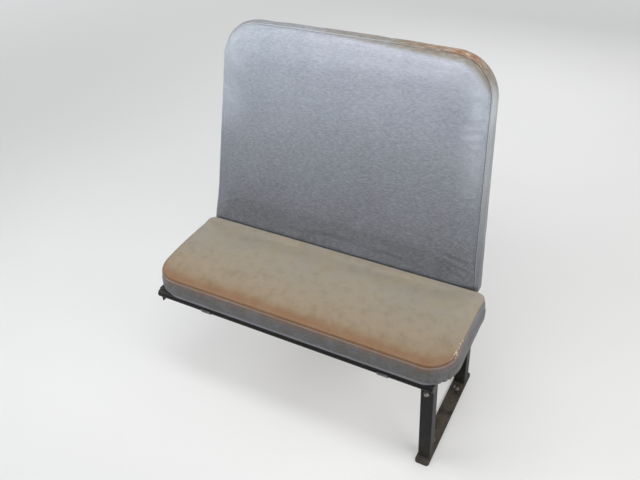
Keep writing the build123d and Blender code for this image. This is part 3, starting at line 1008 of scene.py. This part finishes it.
back_corners = (
    (-back_half(0), 0.0), (back_half(0), 0.0),
    (back_half(shoulder), shoulder), (-back_half(shoulder), shoulder),
)
back_radii = (back_foot_radius, back_foot_radius, back_corner_radius, back_corner_radius)


def back_grid(counts, shrink=0.0):
    """Cover of the back, or a slightly smaller one for the simulation to start from."""
    inner = back_roll + back_patch_margin
    profile = edge_profile(back_roll, back_rear_round, girth_thickness, inner, 0.0013)
    return Cover(back_corners, back_radii, counts, profile, shrink)


back = back_grid(back_counts)
back_points = back_place(back.plan, back.depth, back.share)
back_normals = point_normals(back_points, back.quads)

# X runs across the back from its middle, height up along its slope
x, height = back.plan[:, 0], back.plan[:, 1]
front_seam = back_patch_margin + back_roll * back_seam_turn
rear_seam = back.girth_of_ring[-1] - rear_seam_inset
back_seams = (front_seam, rear_seam)
on_front = back.girth < front_seam + 0.02
on_rear = back.girth > rear_seam - 0.01
behind = back.girth > rear_seam - 0.004
side_gap = back_half(height) - np.abs(x)

back_coarse = back_grid(back_coarse_counts, start_inset)
swelling = blown_up(
    "back_cloth", back, back_points, back_coarse, back_place, back_seams, voxel=0.007, slack=0.006
)
clear_of_cushion = rise(height, 0.045, 0.16)
relief = capped(swelling, most_back_swelling, back.quads) * np.where(on_front, clear_of_cushion, 1)
relief += back_lift

# The frame inside shows as a faint ridge, and the foam falls away outside it
relief += 0.0024 * swell(back.inset, back_frame_inset + 0.006, 0.016) * on_front * rise(height, 0.06, 0.26)
relief -= 0.0010 * (1 - rise(back.inset, 0.0, 0.034)) * on_front
side_fall = (0.0066 + 0.0022 * np.sign(x)) * (1 - rise(side_gap, 0.0, 0.080))
top_fall = 0.0038 * (1 - rise(back_length - height, 0.0, 0.110))
relief -= np.clip(back_normals @ forwards, 0, 1) ** 2 * (side_fall + top_fall)

# The seams draw in, and the boxing between them a little. Both sides of the front seam ripple along it
for seam in back_seams:
    relief += seam_relief(back.girth, seam, depth=0.0024, width=0.0014, ridge_gap=0.0055, ridge_width=0.0030)
relief -= 0.0010 * swell(back.girth, (front_seam + rear_seam) / 2, 0.022) * (back.ring >= 0)
around_length = back.around * outline_length / back.size
ripples = np.sin(around_length * 92 + 2.1 * np.sin(around_length * 7.3)) * np.sin(around_length * 5.1 + 0.7)
at_corner = np.clip(2.2 * np.abs(back.outward[:, 0] * back.outward[:, 1]), 0, 1)
beside_seam = swell(back.girth, front_seam + 0.010, 0.007) + swell(back.girth, front_seam - 0.012, 0.007)
relief += (0.0004 + 0.0008 * at_corner) * ripples * beside_seam

front_wrinkles = (
    # start, angle, length, width, height
    ((back_half(0.10) - 0.012, 0.100), 158, 0.150, 0.0070, 0.0028),
    ((back_half(0.13) - 0.012, 0.134), 166, 0.110, 0.0065, 0.0021),
    ((back_half(0.07) - 0.014, 0.072), 150, 0.190, 0.0085, 0.0024),
    ((back_half(0.30) - 0.010, 0.305), 186, 0.060, 0.0045, 0.0018),
    ((back_half(0.34) - 0.010, 0.338), 192, 0.072, 0.0050, 0.0018),
    ((-back_half(0.10) + 0.012, 0.096), 24, 0.140, 0.0060, 0.0026),
    ((-back_half(0.14) + 0.012, 0.140), 14, 0.085, 0.0050, 0.0020),
    ((-back_half(0.46) + 0.010, 0.462), -8, 0.055, 0.0045, 0.0017),
    ((-back_half(0.50) + 0.010, 0.498), -4, 0.066, 0.0045, 0.0018),
    ((back_half(0.47) - 0.006, 0.470), 176, 0.080, 0.0075, 0.0012),
    ((back_half(0.50) - 0.006, 0.500), 181, 0.100, 0.0078, 0.0017),
    ((back_half(0.53) - 0.006, 0.531), 187, 0.085, 0.0076, 0.0017),
    ((back_half(0.57) - 0.010, 0.563), 194, 0.070, 0.0070, 0.0013),
    ((-0.16, 0.086), 3, 0.300, 0.0110, 0.0018),
    ((0.10, 0.094), -4, 0.220, 0.0100, 0.0016),
)
relief += folds(x, height, front_wrinkles) * on_front
relief += folds(-x, height, front_wrinkles[::2], longer=1.2, lower=0.8) * on_rear

# Behind, the hem is turned up along the foot, and the frame and hollows of the foam show
relief += 0.0010 * (1 - rise(height, hem_height - 0.0012, hem_height + 0.0012)) * behind
relief += 0.0016 * swell(back.inset, back_frame_inset, 0.012) * behind * rise(height, 0.04, 0.16)
for hollow_x, hollow_height, depth in ((-0.24, 0.36, 0.0030), (0.05, 0.31, 0.0036), (0.27, 0.40, 0.0026)):
    relief -= depth * swell(x, hollow_x, 0.085) * swell(height, hollow_height, 0.075) * behind

back_final = back_points + back_normals * relief[:, None]
back_surface = (back_final, back.quads, no_fans)
back_cover = build("back_cover", back_surface, "frame", back_skin, crease=180)
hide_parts("back_pad")

# Where the back is held: along its top edge, more towards the aisle, and most at the aisle corner
aisle_half = x > 0
upper = rise(height, 0.44, 0.66)
towards_aisle = rise(x, -0.22, 0.36)
below_top = np.maximum(back_length - height - back_crown * (x / back_half_top) ** 2, 0)
from_edge = np.minimum(below_top, back.inset + 0.10 * (1 - upper))
band = 0.010 + 0.017 * towards_aisle
outside = rise(back.girth, front_seam - 0.004, front_seam + 0.004) * upper
grime = (1 - rise(from_edge, 0.5 * band, 1.7 * band)) * (0.30 + 0.70 * towards_aisle)
grime = np.maximum(grime, (0.40 + 0.60 * towards_aisle) * outside)
grime = np.maximum(grime, 0.14 * (1 - upper))
grime = np.where(behind, (1 - rise(below_top, 0.01, 0.12)) * 0.72 + 0.16, grime)
below_corner = swell(height, 0.585, 0.065) * aisle_half * ~behind
handled = (swell(x, 0.335, 0.060) + 0.42 * swell(x, 0.21, 0.12)) * (1 - rise(from_edge, 0.002, 0.016))

# Painted highlights: a pale line beside the front seam, a pale aisle side,
# and bright bands on the face near its edges
lip = 0.8 * swell(back.girth, front_seam + 0.0022, 0.0011) * (1 - swell(x, 0.30, 0.16) * upper)
on_aisle_side = aisle_half * rise(back.girth, front_seam, front_seam + 0.004) * ~behind
lip += (0.7 * swell(height, 0.590, 0.060) + 0.42 * rise(height, 0.05, 0.40) * (1 - upper)) * on_aisle_side
polished = swell(from_edge, 0.052, 0.034) * upper * (0.20 + 0.80 * towards_aisle)
aisle_band = swell(side_gap, 0.038, 0.036) * rise(height, 0.24, 0.50) * (1 - rise(height, 0.58, 0.68))
wall_band = (1 - rise(side_gap, 0.010, 0.150)) * rise(height, 0.33, 0.47) * (1 - rise(height, 0.58, 0.72))
polished += np.where(aisle_half, 2.0 * aisle_band, 1.5 * wall_band)

# Painted shade: darker below and in the middle, and dark where the cushion meets the face. Dark in the
# seams and along the hem, as dirt and painted shade
low = 1 - rise(height, 0.00, 0.64) + 0.15 * swell(height, 0.38, 0.12) * swell(x, 0.12, 0.28)
seam_dirt_and_shade = swell(back.girth, front_seam, 0.0011) + swell(back.girth, rear_seam, 0.0011)
seam_dirt_and_shade += 0.6 * swell(height, hem_height + 0.0016, 0.0013) * behind
shade_near_cushion = rise(height, 0.030, 0.042) * (1 - rise(height, back_drop - 0.010, back_drop - 0.001))
seam_dirt_and_shade += shade_near_cushion * on_front
carry(
    back_cover,
    grime=np.clip(grime * (1 - 0.8 * below_corner), 0, 1),
    along=around_length,
    girth=back.girth,
    handled=handled * rise(height, 0.60, 0.68),
    lip=np.clip(lip, 0, 1),
    low=low * (1 - 0.35 * behind),
    kicked=behind * (1 - 0.75 * rise(height, 0.18, 0.52)),
    seam=np.minimum(seam_dirt_and_shade, 1),
    polished=polished * on_front,
)

# Stitches beside both seams, and a level row on the hem, each lifted as the cover's nearest point is
final_normals = point_normals(back_final, back.quads)
rows = [stitch_row(back, back_final, final_normals, seam + stitch_offset) for seam in back_seams]
hem_half = back_half(hem_height) - hem_end_gap
hem_x = np.arange(-hem_half, hem_half, stitch_pitch)
hem_plan = np.stack((hem_x, np.full(len(hem_x), hem_height - hem_stitch_drop)), -1)
rear_points = np.flatnonzero(behind & (np.abs(height - hem_height) < 0.02))
gaps = ((hem_plan[:, None] - back.plan[rear_points][None]) ** 2).sum(-1)
nearest = rear_points[gaps.argmin(1)]
hem_points = back_place(hem_plan, 0.0, 1.0) + back_normals[nearest] * relief[nearest][:, None]
rows.append(stitched(hem_points, np.tile(across, (len(hem_x), 1)), final_normals[nearest]))
build("back_stitches", joined(rows), "frame", thread, crease=180)


# Cushion cover
cushion_counts = (200, 74)
cushion_coarse_counts = (70, 26)
cushion_foot_round = 0.009
cushion_side = 0.072
cushion_patch_inset = 0.032
cushion_seam_turn = radians(52)  # how far round the roll the top seam lies
cushion_hem_inset = 0.026
cushion_stitch_offset = 0.0042
cushion_outline_length = 2.55
cushion_lift = 0.0003  # of the cover from the pad
most_cushion_swelling = 0.0075
rear_slant = tan(recline)
cushion_rear_y = cushion_line_y - cushion_back_gap
middle_y = (cushion_nose_y + cushion_rear_y) / 2
half_depth = (cushion_rear_y - cushion_nose_y) / 2
cushion_corners = (
    (wall_edge_x, cushion_nose_y), (aisle_edge_x, cushion_nose_y),
    (aisle_edge_x, cushion_rear_y), (wall_edge_x, cushion_rear_y),
)
cushion_radii = (cushion_front_radius, cushion_front_radius, cushion_rear_radius, cushion_rear_radius)


def cushion_place(plan, depth, share):
    """Points of the cushion from x and y in plan and depth below its top. The top is crowned from front
    to rear as 1 - t * t, and the rear half is sheared so that its face leans as the back does."""
    x, y = plan[:, 0], plan[:, 1]
    crown = cushion_crown * np.maximum(1 - ((y - middle_y) / half_depth) ** 2, 0)
    depth = depth + share * (cushion_thickness + crown)
    below = np.maximum(depth - crown, 0)
    y = y - below * rear_slant * np.clip((y - middle_y) / half_depth, 0, 1)
    return np.stack((x, y, cushion_line_z + crown - depth), -1)


def cushion_grid(counts, shrink=0.0):
    """Cover of the cushion, or a slightly smaller one for the simulation to start from."""
    profile = edge_profile(cushion_top_round, cushion_foot_round, cushion_side, cushion_patch_inset)
    return Cover(cushion_corners, cushion_radii, counts, profile, shrink)


cushion = cushion_grid(cushion_counts)

# The rear edge is rounded less, so that it meets the back in a narrow line
rear_edge = np.clip(cushion.outward[:, 1], 0, 1) ** 2
tight = 0.42 * rear_edge * (cushion.share < 0.01) * (cushion.ring >= 0)
cushion.depth = cushion.depth * (1 - tight * rise(cushion.inset, 0.0, 0.010))
outwards = tight * np.minimum(cushion.inset, cushion_top_round) * (1 - rise(cushion.inset, 0.015, 0.032))
cushion.plan = cushion.plan + cushion.outward * outwards[:, None]
cushion_points = cushion_place(cushion.plan, cushion.depth, cushion.share)
cushion_normals = point_normals(cushion_points, cushion.quads)
x, y = cushion.plan[:, 0], cushion.plan[:, 1]
top_seam = cushion_patch_inset - cushion_top_round + cushion_top_round * cushion_seam_turn
hem_line = cushion.girth_of_ring[-1] - cushion_hem_inset
on_top = cushion.girth < top_seam
off_rear = 1 - rear_edge

cushion_coarse = cushion_grid(cushion_coarse_counts, start_inset)
puff = blown_up(
    "cushion_cloth", cushion, cushion_points, cushion_coarse, cushion_place, (top_seam, hem_line),
    voxel=0.006, slack=0.010,
)
puff = capped(puff, most_cushion_swelling, cushion.quads)
underneath = cushion.girth > hem_line
puff = np.where(on_top, puff * rise(cushion_rear_y - y, 0.000, 0.060), puff * (1 - underneath))
puff = np.where(cushion.girth > top_seam + 0.030, np.maximum(puff, -0.0010), puff)
relief = puff * (1 - 0.85 * rear_edge * (cushion.girth > top_seam - 0.012)) + cushion_lift

# Hollows of the three seats, and the groove and ridges of the seam
for share in (1 / 6, 3 / 6, 5 / 6):
    dip = swell(x, wall_edge_x + share * cushion_width, 0.110) * swell(y, middle_y + 0.015, 0.085)
    relief -= 0.0030 * dip * on_top
relief += off_rear * seam_relief(
    cushion.girth, top_seam, depth=0.0022, width=0.0015, ridge_gap=0.007, ridge_width=0.0035
)

# Pleats where the vinyl is drawn under at the round corners, and slack waves along the sides
along_side = cushion.around * cushion_outline_length / cushion.size
corner_turn = rise(np.abs(cushion.outward[:, 0] * cushion.outward[:, 1]), 0.10, 0.38) * (y < middle_y)
pleats = np.abs(np.sin(along_side * 190 + 1.3 * np.sin(along_side * 31))) ** 0.7 - 0.7
low_on_side = rise(cushion.girth, top_seam + 0.010, hem_line)
low_on_side *= 1 - rise(cushion.girth, hem_line, hem_line + 0.012)
relief += 0.0042 * pleats * corner_turn * low_on_side
slack_waves = np.sin(along_side * 58 + 1.7 * np.sin(along_side * 11)) * np.sin(along_side * 8.1)
relief += 0.0010 * slack_waves * low_on_side * off_rear
top_wrinkles = (
    # start, angle, length, width, height
    ((aisle_edge_x - 0.020, -0.060), 172, 0.060, 0.0045, 0.0011),
    ((aisle_edge_x - 0.018, -0.015), 184, 0.075, 0.0050, 0.0012),
    ((aisle_edge_x - 0.060, -0.190), 112, 0.090, 0.0055, 0.0013),
    ((aisle_edge_x - 0.120, -0.203), 100, 0.070, 0.0050, 0.0011),
    ((wall_edge_x + 0.020, -0.050), 8, 0.070, 0.0050, 0.0012),
    ((wall_edge_x + 0.060, -0.188), 66, 0.090, 0.0055, 0.0013),
    ((-0.30, 0.085), 4, 0.180, 0.0080, 0.0012),
    ((-0.66, 0.090), -3, 0.150, 0.0080, 0.0011),
)
relief += folds(x, y, top_wrinkles) * on_top

cushion_final = cushion_points + cushion_normals * relief[:, None]
cushion_surface = (cushion_final, cushion.quads, no_fans)
cushion_cover = build("cushion_cover", cushion_surface, "cushion", cushion_skin, crease=180)
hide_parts("cushion_pad")

# The front edge falls back at the round corners by radius - sqrt(radius ** 2 - how far into the corner ** 2)
into_corner = np.maximum(cushion_front_radius - np.minimum(aisle_edge_x - x, x - wall_edge_x), 0)
corner_fall = cushion_front_radius - np.sqrt(np.maximum(cushion_front_radius**2 - into_corner**2, 0))
front_gap = y - cushion_nose_y - corner_fall
aisle_front = swell(x, aisle_edge_x - 0.01, 0.070) * swell(y, cushion_nose_y + 0.096, 0.050)
stain = 0.30 * (1 - rise(front_gap, 0.02, 0.20)) + 0.70 * (1 - rise(front_gap, 0.010, 0.065))
drip = 0.62 * (1 - rise(cushion.girth, top_seam + 0.004, top_seam + 0.034))
# Painted shade: dark in the hollows between the pleats and in the narrow line next to the back
pleat_shade = rise(-pleats, 0.05, 0.55) * corner_turn * low_on_side
shade_next_to_back = rise(y, cushion_rear_y - 0.0065, cushion_rear_y - 0.0015)
rubbed_edge = swell(cushion.girth, top_seam - 0.004, 0.009) * off_rear
carry(
    cushion_cover,
    soil=1 - rise(cushion.girth, top_seam - 0.003, top_seam + 0.006),
    stain=stain * np.maximum(1 - rise(cushion.girth, top_seam, top_seam + 0.010), drip),
    forward=1 - rise(front_gap, 0.02, 0.23),
    # Painted shade: low makes the sides darker than the top
    low=0.60 + 0.40 * rise(cushion.girth, top_seam, top_seam + 0.030),
    fold=np.clip(pleat_shade + shade_next_to_back, 0, 1),
    wear=rubbed_edge * np.maximum(0.28, aisle_front),
    seam=swell(cushion.girth, top_seam, 0.0012) * off_rear,
)

final_normals = point_normals(cushion_final, cushion.quads)
row = stitch_row(cushion, cushion_final, final_normals, top_seam + cushion_stitch_offset)
build("cushion_stitches", row, "cushion", thread, crease=180)

# Margin of the cushion's vinyl: under the pad, down the edge of the board and under it
margin_counts = (120, 44)
vinyl_lift = 0.00003  # of the vinyl from the board
margin_under = board_bottom - 0.00024
board_wall_x = wall_edge_x + board_side_inset
board_aisle_x = aisle_edge_x - board_side_inset
board_corners = (
    (board_wall_x, board_front_y), (board_aisle_x, board_front_y),
    (board_aisle_x, board_rear_y), (board_wall_x, board_rear_y),
)
board_front_radius = cushion_front_radius - board_side_inset
board_rear_radius = cushion_rear_radius / 2
board_radii = (board_front_radius, board_front_radius, board_rear_radius, board_rear_radius)
board_line, board_facing = rounded_outline(board_corners, board_radii, margin_counts * 2)
margin_profile = np.array(
    [
        # outside the board's edge, height
        (0.0036, pad_bottom - 0.0002), (0.0020, pad_bottom - 0.0003), (0.0006, pad_bottom - 0.0012),
        (0.0002, pad_bottom - 0.0040), (0.0002, board_bottom + 0.0010), (-0.0006, board_bottom - vinyl_lift),
        (-0.0125, board_bottom - vinyl_lift), (-0.0210, board_bottom - vinyl_lift), (-0.0210, margin_under),
        (-0.0125, margin_under), (-0.0004, margin_under), (0.0007, board_bottom + 0.0004),
        (0.0013, board_bottom + 0.0016), (0.0013, pad_bottom - 0.0046), (0.0019, pad_bottom - 0.0020),
        (0.0030, pad_bottom - 0.0012), (0.0039, pad_bottom - 0.0008),
    ]
)
margin_offset, margin_height = margin_profile[:, :1], margin_profile[:, 1:]
step = np.arange(len(board_line))
waver = 1 + 0.06 * np.sin(step * 0.31) + 0.05 * np.sin(step * 0.83)
margin_offset = margin_offset * np.where(margin_offset < -0.012, waver, 1.0)
margin_plan = board_line + margin_offset[..., None] * board_facing
margin_height = np.broadcast_to(margin_height[..., None], margin_plan.shape[:2] + (1,))
margin_rings = np.concatenate((margin_plan, margin_height), -1)
build("cushion_margin", lofted(margin_rings, around=True), "cushion", hem_skin, crease=60)


# Fasteners
def about_z(angle):
    """Axes of a head that is turned about its own axis."""
    return np.array([[cos(angle), sin(angle), 0], [-sin(angle), cos(angle), 0], [0, 0, 1.0]])


hex_bolt = turned(
    [
        # radius, height, how far six-sided
        (0.0048, -0.0090, 0), (0.0048, -0.0002, 0), (0.0108, 0.0001, 0), (0.0108, 0.0017, 0),
        (0.0104, 0.0020, 0), (0.0082, 0.0020, 0), (0.0080, 0.0021, 1), (0.0080, 0.0076, 1),
        (0.0078, 0.0082, 0.8), (0.0074, 0.0086, 0.1), (0.0040, 0.0087, 0), (0.0010, 0.0087, 0),
    ],
    segments=72, flats=6,
)


def resized_bolt(shank, head):
    """The hexagon bolt with its shank's length and its head's size multiplied."""
    points, quads, fans = hex_bolt
    return np.where(points[:, 2:] < -0.001, points * [1, 1, shank], points * head), quads, fans


leg_bolt_drop = 0.060
leg_place = [(0.0, front_leg_y - leg_size / 2, frame_height - leg_bolt_drop)]
floor_places = [(0.0, side * floor_bolt_spacing / 2, foot_height) for side in (-1, 1)]
wall_places = [(wall_x + bracket_sheet, y, rail_bottom - bracket_hole_drop) for y in bracket_y]
to_the_front = [[1.0, 0, 0], [0, 0, 1.0], [0, -1.0, 0]]
to_the_aisle = [[0, 1.0, 0], [0, 0, 1.0], [1.0, 0, 0]]
for name, bolt, places, axes in (
    ("leg_bolt", resized_bolt(shank=0.1, head=0.8), leg_place, [to_the_front]),
    ("floor_bolts", hex_bolt, floor_places, [about_z(0.0), about_z(0.3)]),
    ("wall_bolts", resized_bolt(shank=0.3, head=1.0), wall_places, [to_the_aisle, to_the_aisle]),
):
    bolts = repeated(bolt, np.array(places), np.array(axes))
    build(name, bolts, "frame", bolt_steel, crease=28)


def pan_screw(radius=0.0048, height=0.0024, segments=40):
    """Pan-head screw: a low dome, with a cross recess where x or y is near 0 and the centre is close."""
    share = np.array([1.0, 1.0, 0.97, 0.90, 0.78, 0.64, 0.52, 0.42, 0.32, 0.22, 0.12, 0.04])[:, None]
    dome = np.array([-0.6, 0.35, 0.62, 0.80, 0.92, 0.97, 0.99, 1.0, 1.0, 1.0, 1.0, 1.0])[:, None]
    slot_width, slot_reach, slot_end, slot_depth = 0.00055, 0.0020, 0.0029, 0.0013
    angle = np.arange(segments) * 2 * pi / segments
    x, y = radius * share * np.cos(angle), radius * share * np.sin(angle)
    along_y = swell(x, 0, slot_width) * (1 - rise(np.abs(y), slot_reach, slot_end))
    along_x = swell(y, 0, slot_width) * (1 - rise(np.abs(x), slot_reach, slot_end))
    z = height * dome - slot_depth * np.maximum(along_y, along_x) * (share < 0.9)
    return lofted(np.stack((x, y, z), -1))


head_down = np.diag([1.0, -1.0, -1.0])
screw_places = []
for side in (-1, 1):
    hook_x = cushion_x + side * hook_spacing / 2
    clip_x = cushion_x + side * clip_spacing / 2
    for dx, dy in ((-0.008, 0.029), (0.008, 0.029), (0.0, 0.050)):
        screw_places.append((hook_x + dx, front_tube_y + dy, board_bottom - hook_sheet))
    for dx in (-0.007, 0.007):
        screw_places.append((clip_x + dx, rear_tube_y - 0.040, board_bottom - clip_sheet))
screw_turns = np.linspace(0.2, 5.1, len(screw_places))
screw_axes = np.array([about_z(turn) @ head_down for turn in screw_turns])
screws = repeated(pan_screw(), np.array(screw_places), screw_axes)
build("board_screws", screws, "cushion", bolt_steel, crease=40)

# Each staple's crown lies along its own X. Staples keep clear of the rails
staple_clearance = 0.030
staple_line = [
    (-0.0062, 0, -0.0012), (-0.0060, 0, -0.0002), (-0.0050, 0, 0.0003), (0.0, 0, 0.0003),
    (0.0050, 0, 0.0003), (0.0060, 0, -0.0002), (0.0062, 0, -0.0012),
]
staple = bead(np.array(staple_line), 0.00035, np.array([0.0, 1.0, 0.0]), sides=8)


def staple_row(start, end, pitch, y):
    """Places of staples at a pitch along X."""
    clear = [x for x in np.arange(start, end, pitch) if min(abs(x), abs(x - rail_wall_x)) > staple_clearance]
    return [(x, y, margin_under) for x in clear]


level_staples = staple_row(wall_edge_x + 0.085, aisle_edge_x - 0.075, 0.046, board_front_y + 0.0165)
level_staples += staple_row(wall_edge_x + 0.075, aisle_edge_x - 0.065, 0.049, board_rear_y - 0.0195)
side_staples = [(board_aisle_x - 0.013, y, margin_under) for y in np.arange(-0.130, 0.070, 0.044)]
staple_places = np.array(level_staples + side_staples)
lean = np.sin(np.arange(len(staple_places)) * 2.3) * 0.16
lean[len(level_staples) :] += pi / 2
staple_axes = np.array([about_z(-turn) @ head_down for turn in lean])
staples = repeated(staple, staple_places, staple_axes)
build("board_staples", staples, "cushion", bolt_steel, crease=180)

# Weld beads
weld_lift = 0.0002
heavy_weld = 0.0024
wide_weld = 0.0020
tube_weld = 0.0017
fine_weld = 0.0016
rail_weld = 0.0015
even_scales = 0.22
rough_scales = 0.25
upwards = np.array([0.0, 0.0, 1.0])
rearwards = np.array([0.0, 1.0, 0.0])
welds = []


def weld(path, radius, side, ripple=rough_scales, around=False):
    """Add a scaly bead along a path. Side is a direction that is never along it."""
    welds.append(bead(path, radius, side, around=around, ripple=ripple))


def weld_round(centre, radius, start, end, size, ripple=rough_scales, around=False):
    """Add a bead that runs round a tube along X, from one angle to another: 0 is rearwards, 90 up."""
    path = arc(centre, rearwards, upwards, radius, radians(start), radians(end))
    weld(path, size, across, ripple, around)


# Round the foot of each leg, and where its top meets the rail
half_leg = leg_size / 2
for leg_y in (front_leg_y, rear_leg_y):
    leg_corners = [(x * half_leg, leg_y + y * half_leg) for x, y in ((-1, -1), (1, -1), (1, 1), (-1, 1))]
    foot_line, _ = rounded_outline(leg_corners, (leg_corner,) * 4, (52,) * 4)
    foot_line = np.column_stack((foot_line, np.full(len(foot_line), foot_height + 0.0006)))
    weld(foot_line, heavy_weld, upwards, even_scales, around=True)
    for side in (-1, 1):
        x, y = side * (half_leg + weld_lift), leg_y + side * half_leg
        run, cross_run = half_leg - 0.004, half_leg - 0.005
        weld(straight((x, leg_y - run, rail_bottom), (x, leg_y + run, rail_bottom)), rail_weld, upwards)
        z = rail_bottom - 0.0004
        weld(straight((-cross_run, y, z), (cross_run, y, z)), heavy_weld, upwards, even_scales)

# Both sides of each gusset, down the leg and along the rail
for leg_face, towards in ((front_leg_y + half_leg, 1), (rear_leg_y - half_leg, -1)):
    start, end = 0.006, gusset_leg - 0.004
    for side in (-1, 1):
        x = side * (gusset_thickness / 2 + 0.0003)
        down_leg = straight((x, leg_face, rail_bottom - start), (x, leg_face, rail_bottom - end))
        weld(down_leg, fine_weld, across)
        reach_y = (leg_face + towards * start, leg_face + towards * end)
        weld(straight((x, reach_y[0], rail_bottom), (x, reach_y[1], rail_bottom)), fine_weld, across)

# Rails on the front tube and on the rear tube, and brackets under the wall rail
for rail_x in (0.0, rail_wall_x):
    for side in (-1, 1):
        centre = (rail_x + side * (rail_width / 2 + 0.0001), front_tube_y, tube_z)
        weld_round(centre, tube_radius + weld_lift, -84, 48, tube_weld)
for x in (-rail_width / 2 - weld_lift, rail_wall_x + rail_width / 2 + weld_lift):
    weld_round((x, rear_tube_y, tube_z), tube_radius + 0.0003, -228, 48, wide_weld, even_scales)
bracket_x, bracket_z = rail_wall_x - rail_width / 2 - 0.0003, rail_bottom + 0.0004
bracket_run = bracket_width / 2 - 0.006
for y in bracket_y:
    bracket_line = straight((bracket_x, y - bracket_run, bracket_z), (bracket_x, y + bracket_run, bracket_z))
    weld(bracket_line, wide_weld, upwards, even_scales)

# Feet of the back frame, along the tube's ellipse on top of the rails, and ends of the bar between them
mid_tilt = recline - back_taper / 2
mid_up = np.array([0.0, sin(mid_tilt), cos(mid_tilt)])
mid_foot = back_foot - forwards * back_thickness_bottom / 2
foam_gap = 0.0003
bar_level = -0.008  # along the back's slope


def frame_point(side, height):
    """Point on the middle line of the back frame's leg, at a height along its slope."""
    return mid_foot + side * (back_half(height) - back_frame_inset) * across + height * mid_up


for side in (-1, 1):
    low_point = frame_point(side, -2 * tube_diameter)
    axis = unit(frame_point(side, back_length - back_frame_inset) - low_point)
    first = unit(np.cross(axis, rearwards))
    standing_at = low_point + axis * (frame_height + 0.0006 - low_point[2]) / axis[2]
    ring = arc((0, 0, 0), first, np.cross(axis, first), tube_radius + weld_lift, 0, 2 * pi)
    on_rail = standing_at + ring - axis * (ring[:, 2:] / axis[2])
    weld(on_rail, heavy_weld, upwards, even_scales, around=True)
    bar_end = side * (back_half(bar_level) - back_frame_inset - tube_radius - 0.0004)
    bar_centre = mid_foot + bar_end * across - (back_bar_diameter / 2 + foam_gap) * mid_up
    weld_round(bar_centre, back_bar_diameter / 2 + weld_lift, 0, 360, tube_weld, even_scales, around=True)
build("weld_beads", joined(welds), "frame", weld_paint, crease=180)


# Stage
backdrop_colour = rgb(0.73, 0.74, 0.75)
floor_warm = rgb(0.700, 0.695, 0.685)
floor_pale = rgb(0.740, 0.735, 0.725)
floor_glow = rgb(0.880, 0.880, 0.870)
ambient_blue = rgb(0.93, 0.96, 1.0)
ambient_strength = 0.34
floor_half = 9.0
floor_cells = 36
floor_drop = 0.0004


def pale_floor():
    """Plain pale floor. Seen by the camera it is lifted towards white, more so far from the seat, where it
    runs into the backdrop, and it keeps the seat's shadow."""
    finish, paint, place = new_finish("pale_floor")
    colour = paint.noise(place, 1.6, 2.0).mix(floor_warm, floor_pale)
    shaded = paint.node("ShaderNodeBsdfPrincipled", None, {"Base Color": colour, "Roughness": 0.8})
    away = paint.node("ShaderNodeVectorMath", {"operation": "LENGTH"}, {0: place}, "Value")
    far = away.step(1.2, 7.0)
    glow_sockets = {"Color": far.mix(floor_glow, backdrop_colour), "Strength": 1.0}
    glow = paint.node("ShaderNodeEmission", None, glow_sockets)
    seen = paint.node("ShaderNodeLightPath", output="Is Camera Ray")
    lifted = seen * (0.30 + far * 0.70)
    finish_with(paint, paint.node("ShaderNodeMixShader", None, {0: lifted, 1: shaded, 2: glow}))
    return finish


line = np.linspace(-floor_half, floor_half, floor_cells + 1)
floor_x, floor_y = np.meshgrid(line, line)
floor_points = np.stack((floor_x.ravel(), floor_y.ravel(), np.full(floor_x.size, -floor_drop)), -1)
numbers = np.arange(floor_x.size).reshape(floor_x.shape)
around_cell = (numbers[:-1, :-1], numbers[:-1, 1:], numbers[1:, 1:], numbers[1:, :-1])
floor_quads = np.stack([corner.ravel() for corner in around_cell], -1)
floor = build("floor", (floor_points, floor_quads, no_fans), None, pale_floor())

world = bpy.data.worlds.new("studio")
bpy.context.scene.world = world
world.use_nodes = True
world.node_tree.nodes.clear()
sky = Wire(world.node_tree)
seen = sky.node("ShaderNodeLightPath", output="Is Camera Ray")
glossy = sky.node("ShaderNodeLightPath", output="Is Glossy Ray")
through = sky.node("ShaderNodeLightPath", output="Is Transmission Ray")
shown = sky.maths("MAXIMUM", sky.maths("MAXIMUM", seen, glossy), through)
ambient = sky.node("ShaderNodeBackground", None, {"Color": ambient_blue, "Strength": ambient_strength})
backdrop = sky.node("ShaderNodeBackground", None, {"Color": backdrop_colour, "Strength": 1.0})
mixed = sky.node("ShaderNodeMixShader", None, {0: shown, 1: ambient, 2: backdrop})
finish_with(sky, mixed, "ShaderNodeOutputWorld")

lamps = (
    # name, place, aim, width, height, watts, colour
    ("wall_side", (-2.2, -0.7, 1.65), (-0.45, 0.1, 0.9), 2.0, 0.7, 26, (0.95, 0.98, 1.0)),
    ("aisle_side", (1.8, -0.2, 1.9), (-0.35, 0.1, 0.8), 2.0, 0.7, 36, (1.0, 0.98, 0.95)),
    ("over_back", (-0.45, -0.25, 1.80), (-0.45, 0.24, 1.0), 1.3, 0.35, 13, (0.97, 0.99, 1.0)),
    ("behind", (-0.5, 2.9, 1.5), (-0.45, 0.3, 0.7), 2.4, 1.0, 28, (0.98, 0.99, 1.0)),
    ("front", (-0.3, -2.9, 2.3), (-0.45, 0.0, 0.6), 2.4, 1.0, 12, (1.0, 0.99, 0.97)),
)
for name, place, aim, width, height, watts, colour in lamps:
    light = bpy.data.lights.new(name, "AREA")
    light.shape = "RECTANGLE"
    light.size, light.size_y = width, height
    light.energy = watts
    light.color = colour
    lamp = bpy.data.objects.new(name, light)
    lamp.location = place
    lamp.rotation_mode = "QUATERNION"
    lamp.rotation_quaternion = (Vector(aim) - Vector(place)).to_track_quat("-Z", "Y")
    lamp.visible_camera = False
    bpy.context.scene.collection.objects.link(lamp)

bpy.context.scene.view_settings.view_transform = "Standard"
